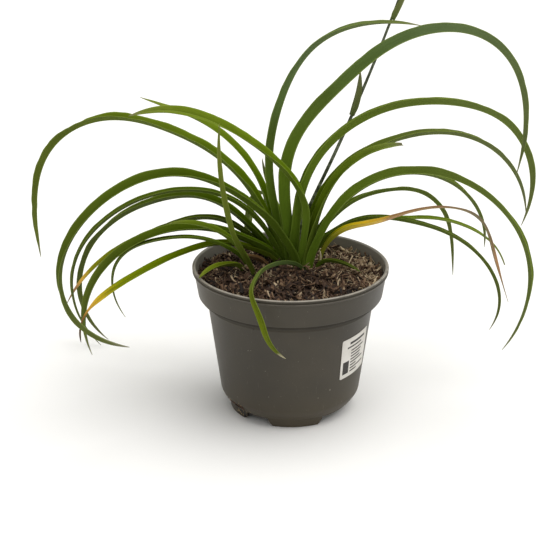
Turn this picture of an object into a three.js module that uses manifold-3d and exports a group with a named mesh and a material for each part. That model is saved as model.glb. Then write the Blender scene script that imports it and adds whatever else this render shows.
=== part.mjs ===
// Potted daylily: narrow arching leaves in fans and one flower stalk, in a moulded nursery pot.
// Millimetres and degrees, +Z up. The pot's axis is the Z axis while the pieces are made. The whole
// plant is then set with the middle of its bounding box's floor on the origin.
// Bearings are measured from +X towards +Y. The front of the pot faces -Y.
import * as THREE from 'three';
import Module from 'manifold-3d';
import { mergeVertices } from 'three/addons/utils/BufferGeometryUtils.js';

const wasm = await Module();
wasm.setup();

// Driving dimensions of the pot
const POT_HEIGHT = 148;
const RIM_RADIUS = 96.2;
const COLLAR_TOP_RADIUS = 94;
const COLLAR_FOOT_RADIUS = 90.4;
const COLLAR_FOOT_Z = 120;
const LEDGE_REACH = 2.1;
const STEP_Z = 110;
const STEP_RADIUS = 81.3;
const WALL_FOOT_RADIUS = 69.2;
const WALL_FOOT_Z = 20;
const FOOT_RADIUS = 60;
const FOOT_RING_WIDTH = 2.6;
const FOOT_HEIGHT = 8.5;
const WALL = 1.8;
const FLOOR = 2.4;
const POT_SIDES = 64;

// Gaps between the ring foot's four feet, and the drainage slots, as [from, to] round the pot. The
// front is 0 and the right-hand side 90.
const FOOT_GAPS = [[31, 90], [137, 157], [211, 270], [317, 339]];
const DRAIN_SLOTS = [[-72, -44], [108, 136]];
const SLOT_LOW_Z = 12;
const SLOT_HIGH_Z = 17;

// Soil: level at the middle and at the wall, its crown mound, waves and lumps, and the leaves' pockets
const CLEARANCE = 0.3;
const SOIL_Z = 140;
const SOIL_EDGE_Z = 138.6;
const SOIL_BELOW_LEVEL = 1.6;
const SOIL_WAVES = 0.5;
const SOIL_LUMPS = 0.3;
const CROWN_MOUND = 1.4;
const CROWN_SPREAD = 34;
const CROWN_PLACE = new THREE.Vector2(2, 26);
const SOIL_RINGS = 10;
const SOIL_SIDES = 48;
const POCKET_DEPTH = 10;
const POCKET_HALF_WIDTH = 4.6;
const POCKET_END_ROOM = 8;
const LONE_POCKET_HALF_LENGTH = 6.5;

// Label on the wall, with its middle this far round the pot from the front, stuck on slightly askew
const LABEL_BEARING = 55.5;
const LABEL_WIDTH = 41.6;
const LABEL_LOW_Z = 50.5;
const LABEL_HIGH_Z = 94;
const LABEL_TILT = 4.3;
const LABEL_THICKNESS = 0.5;
const LABEL_CORNER = 1.5;
const LABEL_GAP = 0.45;

// Leaves: all have one keeled section, one way of leaving the soil and one taper
const FOOT_SLOPE = 86;
const NECK = 15;
const SPREAD = 80;
const FOOT_WIDTH_SHARE = 0.75;
const WIDE_FROM = 0.22;
const TAPER_POWER = 8;
const BRACT_TAPER_POWER = 3;
const TIP_HALF_WIDTH = 0.45;
const FOLD_AT_FOOT = 72;
const FOLD_AT_TIP = 26;
const FOLD_LENGTH = 70;
const FOLD_MIDDLE = 44;
const EDGE_THICKNESS = 0.62;
const KEEL_THICKNESS = 0.9;
const KEEL_MITRE_LIMIT = 1.7;
const MEAN_RING_STEP = 18;
const RING_CROWDING = 1.3;
const STEPS_PER_RING = 6;

// Share of a leaf's length over which its roll sets in, and its twist follows
const ROLL_SHARE = 0.4;

// Flower stalk, bracts and buds
const STALK_RADIUS_FOOT = 2.1;
const STALK_RADIUS_TOP = 1.2;
const STALK_SIDES = 8;
const STALK_RINGS = 16;
const STALK_STEP = 3;
const BRACT_FOLD = 50;
const BUD_SIDES = 8;
const BUD_PEDICEL_RADIUS = 0.8;

const GREEN = 0x4f6b22;
const DARK_GREEN = 0x41581f;
const BRIGHT_GREEN = 0x6b8c2a;
const GREY_GREEN = 0x5b6b45;
const YELLOW_GREEN = 0x8f9a2c;
const YELLOW = 0xc79a2e;
const STALK_GREEN = 0x3c4334;
const BUD_GREEN = 0x6f7a52;
const STRAW = 0x9c8158;
const SHEATH_BROWN = 0x6b4a32;
const POT_TAUPE = 0x4d4841;
const SOIL_BROWN = 0x3a291e;
const LABEL_WHITE = 0xe8e6df;

// Fans stand in the soil with a left-hand and a right-hand rank of leaves on one line.
// turn is the bearing of the right-hand rank, first the first leaf's place, pitch the next ones' step.
const FANS = {
  right: { x: 12, y: 12, turn: 5, first: 3, pitch: 4 },
  centre: { x: -2, y: 24, turn: -8, first: 3, pitch: 4 },
  left: { x: -15, y: 37, turn: -10, first: 3, pitch: 4 },
  rear: { x: 13, y: 36, turn: 4, first: 3, pitch: 4 },
  far: { x: 14, y: 51, turn: 16, first: 3, pitch: 4 },
};

// Leaves by fan, rank (-1 left, +1 right) and place in the rank. bearing is where the leaf heads once
// it is clear of the crown, swing its further turn by the tip, length its length from the foot, half
// its half width, arch its slopes at even steps from foot to tip, roll and twist its turn about itself.
const LEAVES = {
  leaf_front_tall: { fan: 'right', rank: -1, place: 0, bearing: 213, swing: -8, length: 300, half: 7.5,
    arch: [98, 97, 57, 41, 32, 15, -11], roll: -30, twist: -15, colour: BRIGHT_GREEN },
  leaf_front_crossing: { fan: 'right', rank: -1, place: 1, bearing: 210, swing: 0, length: 460, half: 8.5,
    arch: [77, 47, 26, -14, -54, -117, -158], roll: -20, twist: 50, colour: GREEN },
  leaf_blunt: { fan: 'right', rank: 1, place: 0, bearing: 26, swing: 0, length: 185, half: 8.5,
    arch: [82, 77, 56, 22, -4], roll: 0, twist: 20, colour: BRIGHT_GREEN, tip: 3 },
  leaf_right_tucked: { fan: 'rear', rank: 1, place: 1, bearing: -2, swing: 0, length: 275, half: 7,
    arch: [89, 59, 40, 13, -20, -58, -91], roll: 15, twist: -35, colour: GREEN },
  leaf_right_long: { fan: 'right', rank: 1, place: 1.4, bearing: -40, swing: -4, length: 440, half: 8,
    arch: [85, 55, 28, 2, -35, -92, -123], roll: -35, twist: 5, colour: GREEN },

  leaf_left_high: { fan: 'centre', rank: -1, place: 0, bearing: 162, swing: 4, length: 460, half: 9,
    arch: [73, 58, 27, 6, -35, -80, -96], roll: -3, twist: 15, colour: GREEN },
  leaf_left_slim: { fan: 'centre', rank: -1, place: 1.5, bearing: 182, swing: 0, length: 380, half: 5.5,
    arch: [79, 48, 6, -24, -53, -95, -131], roll: 0, twist: -15, colour: DARK_GREEN },
  leaf_left_droop: { fan: 'centre', rank: -1, place: 2.2, bearing: 196, swing: 0, length: 300, half: 8,
    arch: [42, 28, 7, -18, -46, -80, -108], roll: -15, twist: 0, colour: GREEN },
  leaf_left_yellowing: { fan: 'centre', rank: -1, place: 3.2, bearing: 203, swing: 0, length: 250, half: 6,
    arch: [25, 21, -7, -17, -24, -41, -97], roll: -15, twist: -40, colour: YELLOW_GREEN },
  leaf_right_broad: { fan: 'centre', rank: 1, place: 0.5, bearing: -18, swing: -4, length: 510, half: 12,
    arch: [101, 91, 52, 40, 0, -73, -102], roll: -20, twist: 0, colour: GREEN },
  leaf_right_arch: { fan: 'centre', rank: 1, place: 1.5, bearing: 6, swing: 4, length: 450, half: 11,
    arch: [101, 79, 42, 8, -20, -70, -110], roll: -15, twist: 15, colour: GREEN },

  leaf_back_left_long: { fan: 'left', rank: -1, place: 0, bearing: 152, swing: 0, length: 400, half: 8,
    arch: [62, 31, -12, -30, -52, -91, -150], roll: -10, twist: 0, colour: GREEN },
  leaf_back_left_yellow_end: { fan: 'left', rank: -1, place: 2, bearing: 165, swing: 0, length: 285, half: 6,
    arch: [63, 33, -12, -27, -34, -48, -60], roll: 0, twist: -35, colour: DARK_GREEN },
  leaf_right_tall: { fan: 'left', rank: 1, place: 1.25, bearing: 6, swing: 0, length: 345, half: 8.5,
    arch: [99, 100, 81, 60, 14, -11], roll: -30, twist: 35, colour: GREEN },

  leaf_back_right_arch: { fan: 'rear', rank: 1, place: 0, bearing: 24, swing: 6, length: 400, half: 8,
    arch: [96, 65, 24, 2, -22, -50, -81], roll: -5, twist: 15, colour: GREY_GREEN },
  leaf_back_right_short: { fan: 'far', rank: 1, place: 0, bearing: 34, swing: 0, length: 295, half: 5.5,
    arch: [61, 41, 7, -11, -43, -77, -85], roll: -20, twist: 30, colour: DARK_GREEN },
  leaf_right_pale: { fan: 'far', rank: 1, place: 1, bearing: 22, swing: 0, length: 270, half: 4.5,
    arch: [53, 23, -5, -6, -21, -38, -68], roll: 5, twist: 0, colour: BRIGHT_GREEN, tip: 1.6 },
  leaf_right_low: { fan: 'rear', rank: 1, place: 2, bearing: -4, swing: 0, length: 290, half: 5.5,
    arch: [68, 38, -2, -17, -41, -74, -117], roll: -10, twist: -5, colour: DARK_GREEN },
};

// Leaves that stand alone in pockets of their own: root is their place on the soil
const LONE_LEAVES = {
  leaf_small_right: { root: [25, 16], bearings: [-24, -26], length: 61, half: 4,
    arch: [40, 10, -10, -25], roll: 0, twist: 0, colour: GREEN },
  leaf_over_lip: { root: [14, 4], bearings: [206, 222, 254, 268, 340, 368], length: 197, half: 4.2,
    arch: [39, 9, 1, -14, -73, -36], roll: 40, twist: 60, colour: GREEN },
  leaf_dying: { root: [28, 24], bearings: [-8, -14, -16], length: 284, half: 4.5,
    arch: [88, 54, 15, 23, 13, -13, -69, -71, -70], roll: 5, twist: 0, colour: YELLOW },
  leaf_back_left_high: { root: [-20, 52], bearings: [150, 140, 140], length: 270, half: 6.5,
    arch: [98, 79, 43, 18, 5, 6], roll: 0, twist: 0, colour: GREEN },
  leaf_side_upright: { root: [-35, -7], bearings: [230, 236, 236], length: 185, half: 5.5,
    arch: [52, 57, 71, 82, 99], roll: -30, twist: 0, colour: BRIGHT_GREEN },
  leaf_side_arch: { root: [-37, 6], bearings: [200, 192, 190], length: 115, half: 5.5,
    arch: [54, 59, 37, 15, -3], roll: -15, twist: 0, colour: BRIGHT_GREEN },
  leaf_side_thin: { root: [-41, 12], bearings: [190, 186, 188], length: 220, half: 4.2,
    arch: [60, 29, 0, -23, -84, -121], roll: 0, twist: 0, colour: GREEN },
  leaf_side_short: { root: [-46, 6], bearings: [233, 230, 229], length: 77, half: 4.6,
    arch: [39, 19, 13, -4, -24], roll: -10, twist: 0, colour: YELLOW_GREEN },
  leaf_back_stub: { root: [-8, 49], bearings: [150, 130], length: 110, half: 3,
    arch: [96, 83, 70, 63, 80], roll: 0, twist: 0, colour: GREY_GREEN },
  leaf_back_drooping: { root: [-4, 50], bearings: [112, 114], length: 200, half: 6.5,
    arch: [78, 50, 8, -40, -74, -88], roll: 0, twist: 0, colour: GREEN },
  leaf_back_low: { root: [14, 50], bearings: [90, 92], length: 170, half: 6,
    arch: [76, 44, 5, -35, -66, -80], roll: 0, twist: 0, colour: DARK_GREEN },
  dry_sheath_brown: { root: [-21, 14], bearings: [160, 150], length: 44, half: 5,
    arch: [22, 2, -3], roll: 0, twist: 0, colour: SHEATH_BROWN, tip: 1.5 },
  dry_sheath_pale: { root: [28.4, 18.6], bearings: [40, 30], length: 26, half: 2.4,
    arch: [84, 78, 112], roll: 0, twist: 0, colour: STRAW },
};

// Flower stalk: its root on the soil, its bearing, its length and its slopes from foot to top
const STALK = { root: [2, 46], bearings: [26, 26], length: 306, arch: [75, 62, 64, 66, 69] };

// Bracts are short keeled blades that clasp the stalk. at is the foot's distance along the stalk, side
// the bearing on which it stands off the stalk and apart its distance from the stalk's middle line.
const BRACTS = {
  bract_lower: { at: 163, side: 250, apart: 2.8, bearings: [26, 26], length: 46, half: 5.4,
    arch: [66, 74, 84, 90], roll: -136, colour: GREY_GREEN },
  bract_upper: { at: 263, side: -40, apart: 2.4, bearings: [26, 20], length: 32, half: 6,
    arch: [64, 60, 62, 72], roll: -66, colour: GREY_GREEN },
};

// Buds on short stems of their own. side is the bearing on which a bud leaves the stalk.
const BUDS = {
  bud_right: { at: 287, apart: 2.5, side: 66, slope: 68, length: 25, radius: 3 },
  bud_left: { at: 292, apart: 2.5, side: 200, slope: 84, length: 20, radius: 2.4 },
  bud_top: { at: 306.5, apart: 0, side: 26, slope: 72, length: 27, radius: 3.4 },
};

const radians = (degrees) => THREE.MathUtils.degToRad(degrees);
const smooth = (t) => THREE.MathUtils.smoothstep(t, 0, 1);

// Value at t (0 to 1) of a smooth curve through evenly spaced values
function through(values, t) {
  const x = THREE.MathUtils.clamp(t, 0, 1) * (values.length - 1);
  const i = Math.min(Math.floor(x), values.length - 2);
  const f = x - i;
  const before = values[Math.max(i - 1, 0)];
  const after = values[Math.min(i + 2, values.length - 1)];
  const [a, b] = [values[i], values[i + 1]];
  return 0.5 * (2 * a + (b - before) * f + (2 * before - 5 * a + 4 * b - after) * f * f
    + (3 * a - before - 3 * b + after) * f * f * f);
}

// Place on the soil and bearing of a leaf's foot: its own, or from its fan
function footOf(leaf) {
  if (leaf.root) return { x: leaf.root[0], y: leaf.root[1], bearing: leaf.bearings[0] };
  const fan = FANS[leaf.fan];
  const turn = radians(fan.turn);
  const reach = leaf.rank * (fan.first + fan.pitch * leaf.place);
  const bearing = leaf.rank > 0 ? fan.turn : fan.turn + 180;
  return { x: fan.x + reach * Math.cos(turn), y: fan.y + reach * Math.sin(turn), bearing };
}

function bearingAt(leaf, foot, distance) {
  const share = distance / leaf.length;
  if (leaf.bearings) return through(leaf.bearings, share);
  return foot.bearing + (leaf.bearing - foot.bearing) * smooth(distance / SPREAD) + leaf.swing * share;
}

// Slope of a course: upright where it leaves the soil, then as its arch says. Bracts follow their arch.
function slopeAt(leaf, distance) {
  const slope = through(leaf.arch, distance / leaf.length);
  if (leaf.at) return slope;
  return slope + (FOOT_SLOPE - slope) * Math.exp(-((distance / NECK) ** 2));
}

// Direction along a course, its upper side and its right-hand side, for a slope, a bearing and a roll
function axesFor(slope, bearing, roll) {
  const [s, b, r] = [radians(slope), radians(bearing), radians(roll)];
  const along = new THREE.Vector3(Math.cos(s) * Math.cos(b), Math.cos(s) * Math.sin(b), Math.sin(s));
  const up = new THREE.Vector3(-Math.sin(s) * Math.cos(b), -Math.sin(s) * Math.sin(b), Math.cos(s));
  const side = new THREE.Vector3().crossVectors(along, up);
  up.applyAxisAngle(along, r);
  side.applyAxisAngle(along, r);
  return { along, up, side };
}

// Place beside the stalk where a bract or a bud has its foot
function besideStalk({ at, side, apart }) {
  return stalkPoint(at).centre.addScaledVector(axesFor(0, side, 0).along, apart);
}

// Start of a course: in the leaf's pocket, or beside the stalk for a bract
function startOf(leaf, foot) {
  if (!leaf.at) return new THREE.Vector3(foot.x, foot.y, SOIL_Z - POCKET_DEPTH);
  return besideStalk(leaf);
}

// Rings along a blade from foot to tip, closer together near the foot: each has a centre and axes
function courseOf(leaf) {
  const foot = leaf.at ? null : footOf(leaf);
  const rings = Math.max(6, Math.round(leaf.length / MEAN_RING_STEP));
  const centre = startOf(leaf, foot);
  const course = [];
  let distance = 0;
  for (let ring = 0; ring <= rings; ring += 1) {
    const target = leaf.length * (ring / rings) ** RING_CROWDING;
    const step = (target - distance) / STEPS_PER_RING;
    for (let k = 0; k < STEPS_PER_RING && step > 0; k += 1) {
      const middle = distance + step / 2;
      const { along } = axesFor(slopeAt(leaf, middle), bearingAt(leaf, foot, middle), 0);
      centre.addScaledVector(along, step);
      distance += step;
    }
    const share = distance / leaf.length;
    const rolled = leaf.at ? 1 : smooth(share / ROLL_SHARE);
    const twisted = smooth((share - ROLL_SHARE) / (1 - ROLL_SHARE));
    const roll = leaf.roll * rolled + (leaf.twist ?? 0) * twisted;
    const axes = axesFor(slopeAt(leaf, distance), bearingAt(leaf, foot, distance), roll);
    course.push({ centre: centre.clone(), share, distance, ...axes });
  }
  return course;
}

function halfWidthAt(leaf, share) {
  const tip = leaf.tip ?? TIP_HALF_WIDTH;
  const opening = FOOT_WIDTH_SHARE + (1 - FOOT_WIDTH_SHARE) * smooth(share / WIDE_FROM);
  const power = leaf.at ? BRACT_TAPER_POWER : TAPER_POWER;
  return tip + (leaf.half * opening - tip) * (1 - share ** power);
}

// Angle between each half of a blade and its spread-out plane
function foldAt(leaf, distance, share) {
  if (leaf.at) return radians(BRACT_FOLD);
  const nearFoot = (FOLD_AT_FOOT - FOLD_MIDDLE) * Math.exp(-((distance / FOLD_LENGTH) ** 2));
  return radians(FOLD_MIDDLE + (FOLD_AT_TIP - FOLD_MIDDLE) * share ** 2 + nearFoot);
}

// A keeled blade. Its upper and lower faces are grids of the same triangles: left edge, keel and
// right edge on each ring. Narrow walls join them along both edges and at both ends.
function bladeGeometry(leaf) {
  const course = courseOf(leaf);
  const columns = 3;
  const positions = [];
  const point = (ring, sideways, upwards) => {
    const p = ring.centre.clone().addScaledVector(ring.side, sideways).addScaledVector(ring.up, upwards);
    positions.push(p.x, p.y, p.z);
  };
  for (const face of [1, -1]) {
    for (const ring of course) {
      const half = halfWidthAt(leaf, ring.share);
      const fold = foldAt(leaf, ring.distance, ring.share);
      const edgeShift = (face * EDGE_THICKNESS) / 2;
      const mitre = Math.min(1 / Math.cos(fold), KEEL_MITRE_LIMIT);
      const keelDrop = (half * Math.sin(fold)) / 2;
      for (const column of [-1, 0, 1]) {
        if (column === 0) point(ring, 0, (face * KEEL_THICKNESS * mitre) / 2 - keelDrop);
        else {
          point(ring, column * (half * Math.cos(fold) - edgeShift * Math.sin(fold)),
            half * Math.sin(fold) + edgeShift * Math.cos(fold) - keelDrop);
        }
      }
    }
  }
  const last = course.length - 1;
  const lower = course.length * columns;
  const index = [];
  const quad = (a, b, c, d) => index.push(a, b, c, a, c, d);
  for (let ring = 0; ring < last; ring += 1) {
    for (let column = 0; column < 2; column += 1) {
      const a = ring * columns + column;
      const [b, c, d] = [a + columns, a + columns + 1, a + 1];
      index.push(a, d, c, a, c, b);
      index.push(lower + a, lower + c, lower + d, lower + a, lower + b, lower + c);
    }
    for (const column of [0, 2]) {
      const a = ring * columns + column;
      const b = a + columns;
      if (column === 0) quad(a, b, lower + b, lower + a);
      else quad(a, lower + a, lower + b, b);
    }
  }
  for (let column = 0; column < 2; column += 1) {
    const end = last * columns + column;
    quad(column, lower + column, lower + column + 1, column + 1);
    quad(end, end + 1, lower + end + 1, lower + end);
  }
  const geometry = new THREE.BufferGeometry();
  geometry.setAttribute('position', new THREE.Float32BufferAttribute(positions, 3));
  geometry.setIndex(index);
  return geometry;
}

// Closed solid for cutting and joining, from a closed geometry
function solidFrom(geometry) {
  const bare = geometry.clone();
  bare.deleteAttribute('normal');
  bare.deleteAttribute('uv');
  const merged = mergeVertices(bare, 1e-4);
  const vertProperties = new Float32Array(merged.attributes.position.array);
  const triVerts = new Uint32Array(merged.index.array);
  return new wasm.Manifold(new wasm.Mesh({ numProp: 3, vertProperties, triVerts }));
}

function geometryFrom(solid) {
  const mesh = solid.getMesh();
  const geometry = new THREE.BufferGeometry();
  geometry.setAttribute('position', new THREE.Float32BufferAttribute(mesh.vertProperties, 3));
  geometry.setIndex([...mesh.triVerts]);
  return geometry;
}

// Lathe about the Z axis from points [radius, z]
function latheZ(outline, sides) {
  const lathe = new THREE.LatheGeometry(outline.map(([r, z]) => new THREE.Vector2(r, z)), sides);
  return lathe.rotateX(Math.PI / 2);
}

// Prism that fills a stretch round the pot, between two radii and two heights
function ringSector([from, to], inner, outer, low, high) {
  const start = radians(from - 90);
  const end = radians(to - 90);
  const sector = new THREE.Shape();
  sector.absarc(0, 0, outer, start, end, false);
  sector.absarc(0, 0, inner, end, start, true);
  const prism = new THREE.ExtrudeGeometry(sector, {
    depth: high - low,
    bevelEnabled: false,
    curveSegments: 8,
  });
  return prism.translate(0, 0, low);
}

// Inside radius of the pot's wall at a height
function insideRadius(z) {
  const slope = (STEP_RADIUS - WALL_FOOT_RADIUS) / (STEP_Z - WALL_FOOT_Z);
  if (z <= STEP_Z) return WALL_FOOT_RADIUS + slope * (z - WALL_FOOT_Z) - WALL;
  const share = THREE.MathUtils.clamp((z - COLLAR_FOOT_Z) / (POT_HEIGHT - COLLAR_FOOT_Z), 0, 1);
  return COLLAR_FOOT_RADIUS + share * (COLLAR_TOP_RADIUS - COLLAR_FOOT_RADIUS) - WALL;
}

// One moulding: raised floor, ring foot, rounded corner, tapered wall, step, collar and rolled lip
function potGeometry() {
  const under = FOOT_HEIGHT;
  const outline = [
    [0, under],
    [FOOT_RADIUS - FOOT_RING_WIDTH, under],
    [FOOT_RADIUS - FOOT_RING_WIDTH, 0],
    [FOOT_RADIUS, 0],
    [FOOT_RADIUS + 1, under - 0.5],
    [63.4, 10.8],
    [66.6, 14.6],
    [WALL_FOOT_RADIUS, WALL_FOOT_Z],
    [STEP_RADIUS, STEP_Z],
    [STEP_RADIUS + 1.6, STEP_Z + 2.6],
    [COLLAR_FOOT_RADIUS - LEDGE_REACH, COLLAR_FOOT_Z - 3.2],
    [COLLAR_FOOT_RADIUS, COLLAR_FOOT_Z],
    [COLLAR_TOP_RADIUS, POT_HEIGHT - 6],
    [RIM_RADIUS - 0.5, POT_HEIGHT - 4.8],
    [RIM_RADIUS, POT_HEIGHT - 3],
    [RIM_RADIUS - 0.4, POT_HEIGHT - 0.8],
    [RIM_RADIUS - 1.5, POT_HEIGHT],
    [COLLAR_TOP_RADIUS - WALL + 0.6, POT_HEIGHT - 0.8],
    [COLLAR_TOP_RADIUS - WALL, POT_HEIGHT - 5],
    [COLLAR_FOOT_RADIUS - WALL, COLLAR_FOOT_Z - 0.4],
    [COLLAR_FOOT_RADIUS - LEDGE_REACH - WALL, COLLAR_FOOT_Z - 2.4],
    [STEP_RADIUS - WALL, STEP_Z + 1],
    [WALL_FOOT_RADIUS - WALL, WALL_FOOT_Z],
    [64.6, 15.6],
    [61, under + FLOOR],
    [0, under + FLOOR],
  ];
  const inner = FOOT_RADIUS - 10;
  const outer = FOOT_RADIUS + 10;
  const wall = WALL_FOOT_RADIUS + 5;
  let pot = solidFrom(latheZ(outline, POT_SIDES));
  for (const gap of FOOT_GAPS) {
    pot = pot.subtract(solidFrom(ringSector(gap, inner, outer, -1, FOOT_HEIGHT - 0.5)));
  }
  for (const slot of DRAIN_SLOTS) {
    pot = pot.subtract(solidFrom(ringSector(slot, FOOT_RADIUS, wall, SLOT_LOW_Z, SLOT_HIGH_Z)));
  }
  return geometryFrom(pot);
}

// Height of the crumbly soil: a mound at the crown, low waves and finer lumps, all from a formula
function soilHeight(x, y) {
  const radius = Math.hypot(x, y);
  const crown = Math.hypot(x - CROWN_PLACE.x, y - CROWN_PLACE.y);
  const outwards = smooth(radius / COLLAR_FOOT_RADIUS);
  const base = THREE.MathUtils.lerp(SOIL_Z, SOIL_EDGE_Z, outwards) - SOIL_BELOW_LEVEL;
  const waves = Math.sin(x * 0.11 + 1.3) * Math.cos(y * 0.13 - 0.4) + 0.6 * Math.sin(x * 0.31 - y * 0.27);
  const across = Math.sin(x * 0.73 + 2.1 * Math.sin(y * 0.41));
  const along = Math.cos(y * 0.83 - 1.7 * Math.sin(x * 0.37));
  const mound = CROWN_MOUND * Math.exp(-((crown / CROWN_SPREAD) ** 2));
  return base + mound + SOIL_WAVES * waves + SOIL_LUMPS * (across + along);
}

// Plain pocket in the soil: a slot with round ends, centred at x, y and turned to a bearing
function pocketSolid(x, y, bearing, halfLength) {
  const slot = new THREE.Shape();
  const straight = Math.max(halfLength - POCKET_HALF_WIDTH, 0.1);
  slot.absarc(straight, 0, POCKET_HALF_WIDTH, -Math.PI / 2, Math.PI / 2, false);
  slot.absarc(-straight, 0, POCKET_HALF_WIDTH, Math.PI / 2, Math.PI * 1.5, false);
  const floor = SOIL_Z - POCKET_DEPTH - 0.5;
  const prism = new THREE.ExtrudeGeometry(slot, { depth: 30, bevelEnabled: false, curveSegments: 6 });
  return solidFrom(prism.rotateZ(radians(bearing)).translate(x, y, floor));
}

// Ends of each fan's line of leaves, measured from the fan's centre
function fanSpan(name) {
  const reaches = Object.values(LEAVES).filter((leaf) => leaf.fan === name)
    .map((leaf) => leaf.rank * (FANS[name].first + FANS[name].pitch * leaf.place));
  return [Math.min(...reaches, 0), Math.max(...reaches, 0)];
}

function soilGeometry() {
  const low = FOOT_HEIGHT + FLOOR + CLEARANCE;
  const wallFoot = WALL_FOOT_RADIUS - WALL - CLEARANCE;
  const edge = insideRadius(SOIL_EDGE_Z) - CLEARANCE - 0.2;
  const outline = [
    [0, low],
    [60.4, low],
    [64, 15.9],
    [wallFoot, WALL_FOOT_Z + 0.2],
    [STEP_RADIUS - WALL - CLEARANCE - 0.1, STEP_Z + 1.3],
    [COLLAR_FOOT_RADIUS - LEDGE_REACH - WALL - CLEARANCE - 0.2, COLLAR_FOOT_Z - 2.1],
    [COLLAR_FOOT_RADIUS - WALL - CLEARANCE - 0.1, COLLAR_FOOT_Z],
    [edge, SOIL_EDGE_Z - 3.5],
  ];
  const topStart = outline.length;
  for (let ring = 0; ring <= SOIL_RINGS; ring += 1) outline.push([edge * (1 - ring / SOIL_RINGS), SOIL_Z]);
  const geometry = latheZ(outline, SOIL_SIDES);
  const place = geometry.attributes.position;
  for (let i = 0; i < place.count; i += 1) {
    if (i % outline.length >= topStart) place.setZ(i, soilHeight(place.getX(i), place.getY(i)));
  }
  let soil = solidFrom(geometry);
  for (const [name, fan] of Object.entries(FANS)) {
    const [from, to] = fanSpan(name);
    const middle = (from + to) / 2;
    const turn = radians(fan.turn);
    const halfLength = (to - from) / 2 + POCKET_END_ROOM;
    const [x, y] = [fan.x + middle * Math.cos(turn), fan.y + middle * Math.sin(turn)];
    soil = soil.subtract(pocketSolid(x, y, fan.turn, halfLength));
  }
  for (const { root, bearings } of Object.values(LONE_LEAVES)) {
    soil = soil.subtract(pocketSolid(root[0], root[1], bearings[0], LONE_POCKET_HALF_LENGTH));
  }
  soil = soil.subtract(pocketSolid(STALK.root[0], STALK.root[1], 0, POCKET_HALF_WIDTH));
  return geometryFrom(soil);
}

// Thin sheet with cut corners, wrapped on the pot's tapered wall a clearance away from it
function labelGeometry() {
  const sheet = new THREE.BoxGeometry(1, 1, 1, 14, 6, 1);
  const place = sheet.attributes.position;
  for (let i = 0; i < place.count; i += 1) {
    let [u, v] = [place.getX(i) * 2, place.getY(i) * 2];
    const corner = Math.abs(u) > 0.99 && Math.abs(v) > 0.99;
    const height = LABEL_HIGH_Z - LABEL_LOW_Z;
    if (corner) [u, v] = [u * (1 - LABEL_CORNER / LABEL_WIDTH), v * (1 - LABEL_CORNER / height)];
    const [across, up] = [(u * LABEL_WIDTH) / 2, (v * height) / 2];
    const [sine, cosine] = [Math.sin(radians(LABEL_TILT)), Math.cos(radians(LABEL_TILT))];
    const z = (LABEL_LOW_Z + LABEL_HIGH_Z) / 2 + up * cosine + across * sine;
    const radius = insideRadius(z) + WALL + LABEL_GAP + (place.getZ(i) > 0 ? LABEL_THICKNESS : 0);
    const angle = radians(LABEL_BEARING - 90) + (across * cosine - up * sine) / radius;
    place.setXYZ(i, radius * Math.cos(angle), radius * Math.sin(angle), z);
  }
  return sheet;
}

// Place and axes on the stalk at a distance from its foot
function stalkPoint(distance) {
  const centre = new THREE.Vector3(STALK.root[0], STALK.root[1], SOIL_Z - POCKET_DEPTH);
  const steps = Math.max(1, Math.round(distance / STALK_STEP));
  const step = distance / steps;
  for (let k = 0; k < steps; k += 1) {
    const { along } = axesFor(slopeAt(STALK, (k + 0.5) * step), STALK.bearings[0], 0);
    centre.addScaledVector(along, step);
  }
  return { centre, ...axesFor(slopeAt(STALK, distance), STALK.bearings[0], 0) };
}

function stalkRadius(share) {
  return THREE.MathUtils.lerp(STALK_RADIUS_FOOT, STALK_RADIUS_TOP, share);
}

// A closed cylinder bent along the stalk's course and thinned towards the top
function stalkGeometry() {
  const rod = new THREE.CylinderGeometry(1, 1, 1, STALK_SIDES, STALK_RINGS);
  const place = rod.attributes.position;
  for (let i = 0; i < place.count; i += 1) {
    const share = place.getY(i) + 0.5;
    const { centre, up, side } = stalkPoint(share * STALK.length);
    const radius = stalkRadius(share);
    centre.addScaledVector(side, place.getX(i) * radius).addScaledVector(up, place.getZ(i) * radius);
    place.setXYZ(i, centre.x, centre.y, centre.z);
  }
  return rod;
}

// A bud on its short stem: a lathe from pedicel to pointed tip, laid along its own direction
function budGeometry(bud) {
  const { length, radius } = bud;
  const outline = [
    [0, 0],
    [BUD_PEDICEL_RADIUS, 0],
    [BUD_PEDICEL_RADIUS, length * 0.16],
    [radius * 0.7, length * 0.32],
    [radius, length * 0.55],
    [radius * 0.86, length * 0.74],
    [radius * 0.45, length * 0.92],
    [0, length],
  ];
  const geometry = latheZ(outline, BUD_SIDES);
  const { along } = axesFor(bud.slope, bud.side, 0);
  const centre = besideStalk(bud);
  geometry.applyQuaternion(new THREE.Quaternion().setFromUnitVectors(new THREE.Vector3(0, 0, 1), along));
  return geometry.translate(centre.x, centre.y, centre.z);
}

const material = (color, roughness) => new THREE.MeshStandardMaterial({ color, roughness, metalness: 0 });

const plant = new THREE.Group();

function add(name, geometry, finish) {
  const mesh = new THREE.Mesh(geometry, finish);
  mesh.name = name;
  plant.add(mesh);
  return mesh;
}

add('pot', potGeometry(), material(POT_TAUPE, 0.55));
add('soil', soilGeometry(), material(SOIL_BROWN, 0.95));
add('label', labelGeometry(), material(LABEL_WHITE, 0.6));
for (const [name, leaf] of Object.entries({ ...LEAVES, ...LONE_LEAVES })) {
  add(name, bladeGeometry(leaf), material(leaf.colour, 0.5));
}
add('flower_stalk', stalkGeometry(), material(STALK_GREEN, 0.5));
for (const [name, bract] of Object.entries(BRACTS)) {
  add(name, bladeGeometry(bract), material(bract.colour, 0.5));
}
for (const [name, bud] of Object.entries(BUDS)) add(name, budGeometry(bud), material(BUD_GREEN, 0.5));

const box = new THREE.Box3().setFromObject(plant);
plant.position.set(-(box.min.x + box.max.x) / 2, -(box.min.y + box.max.y) / 2, -box.min.z);

export default plant;
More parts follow.
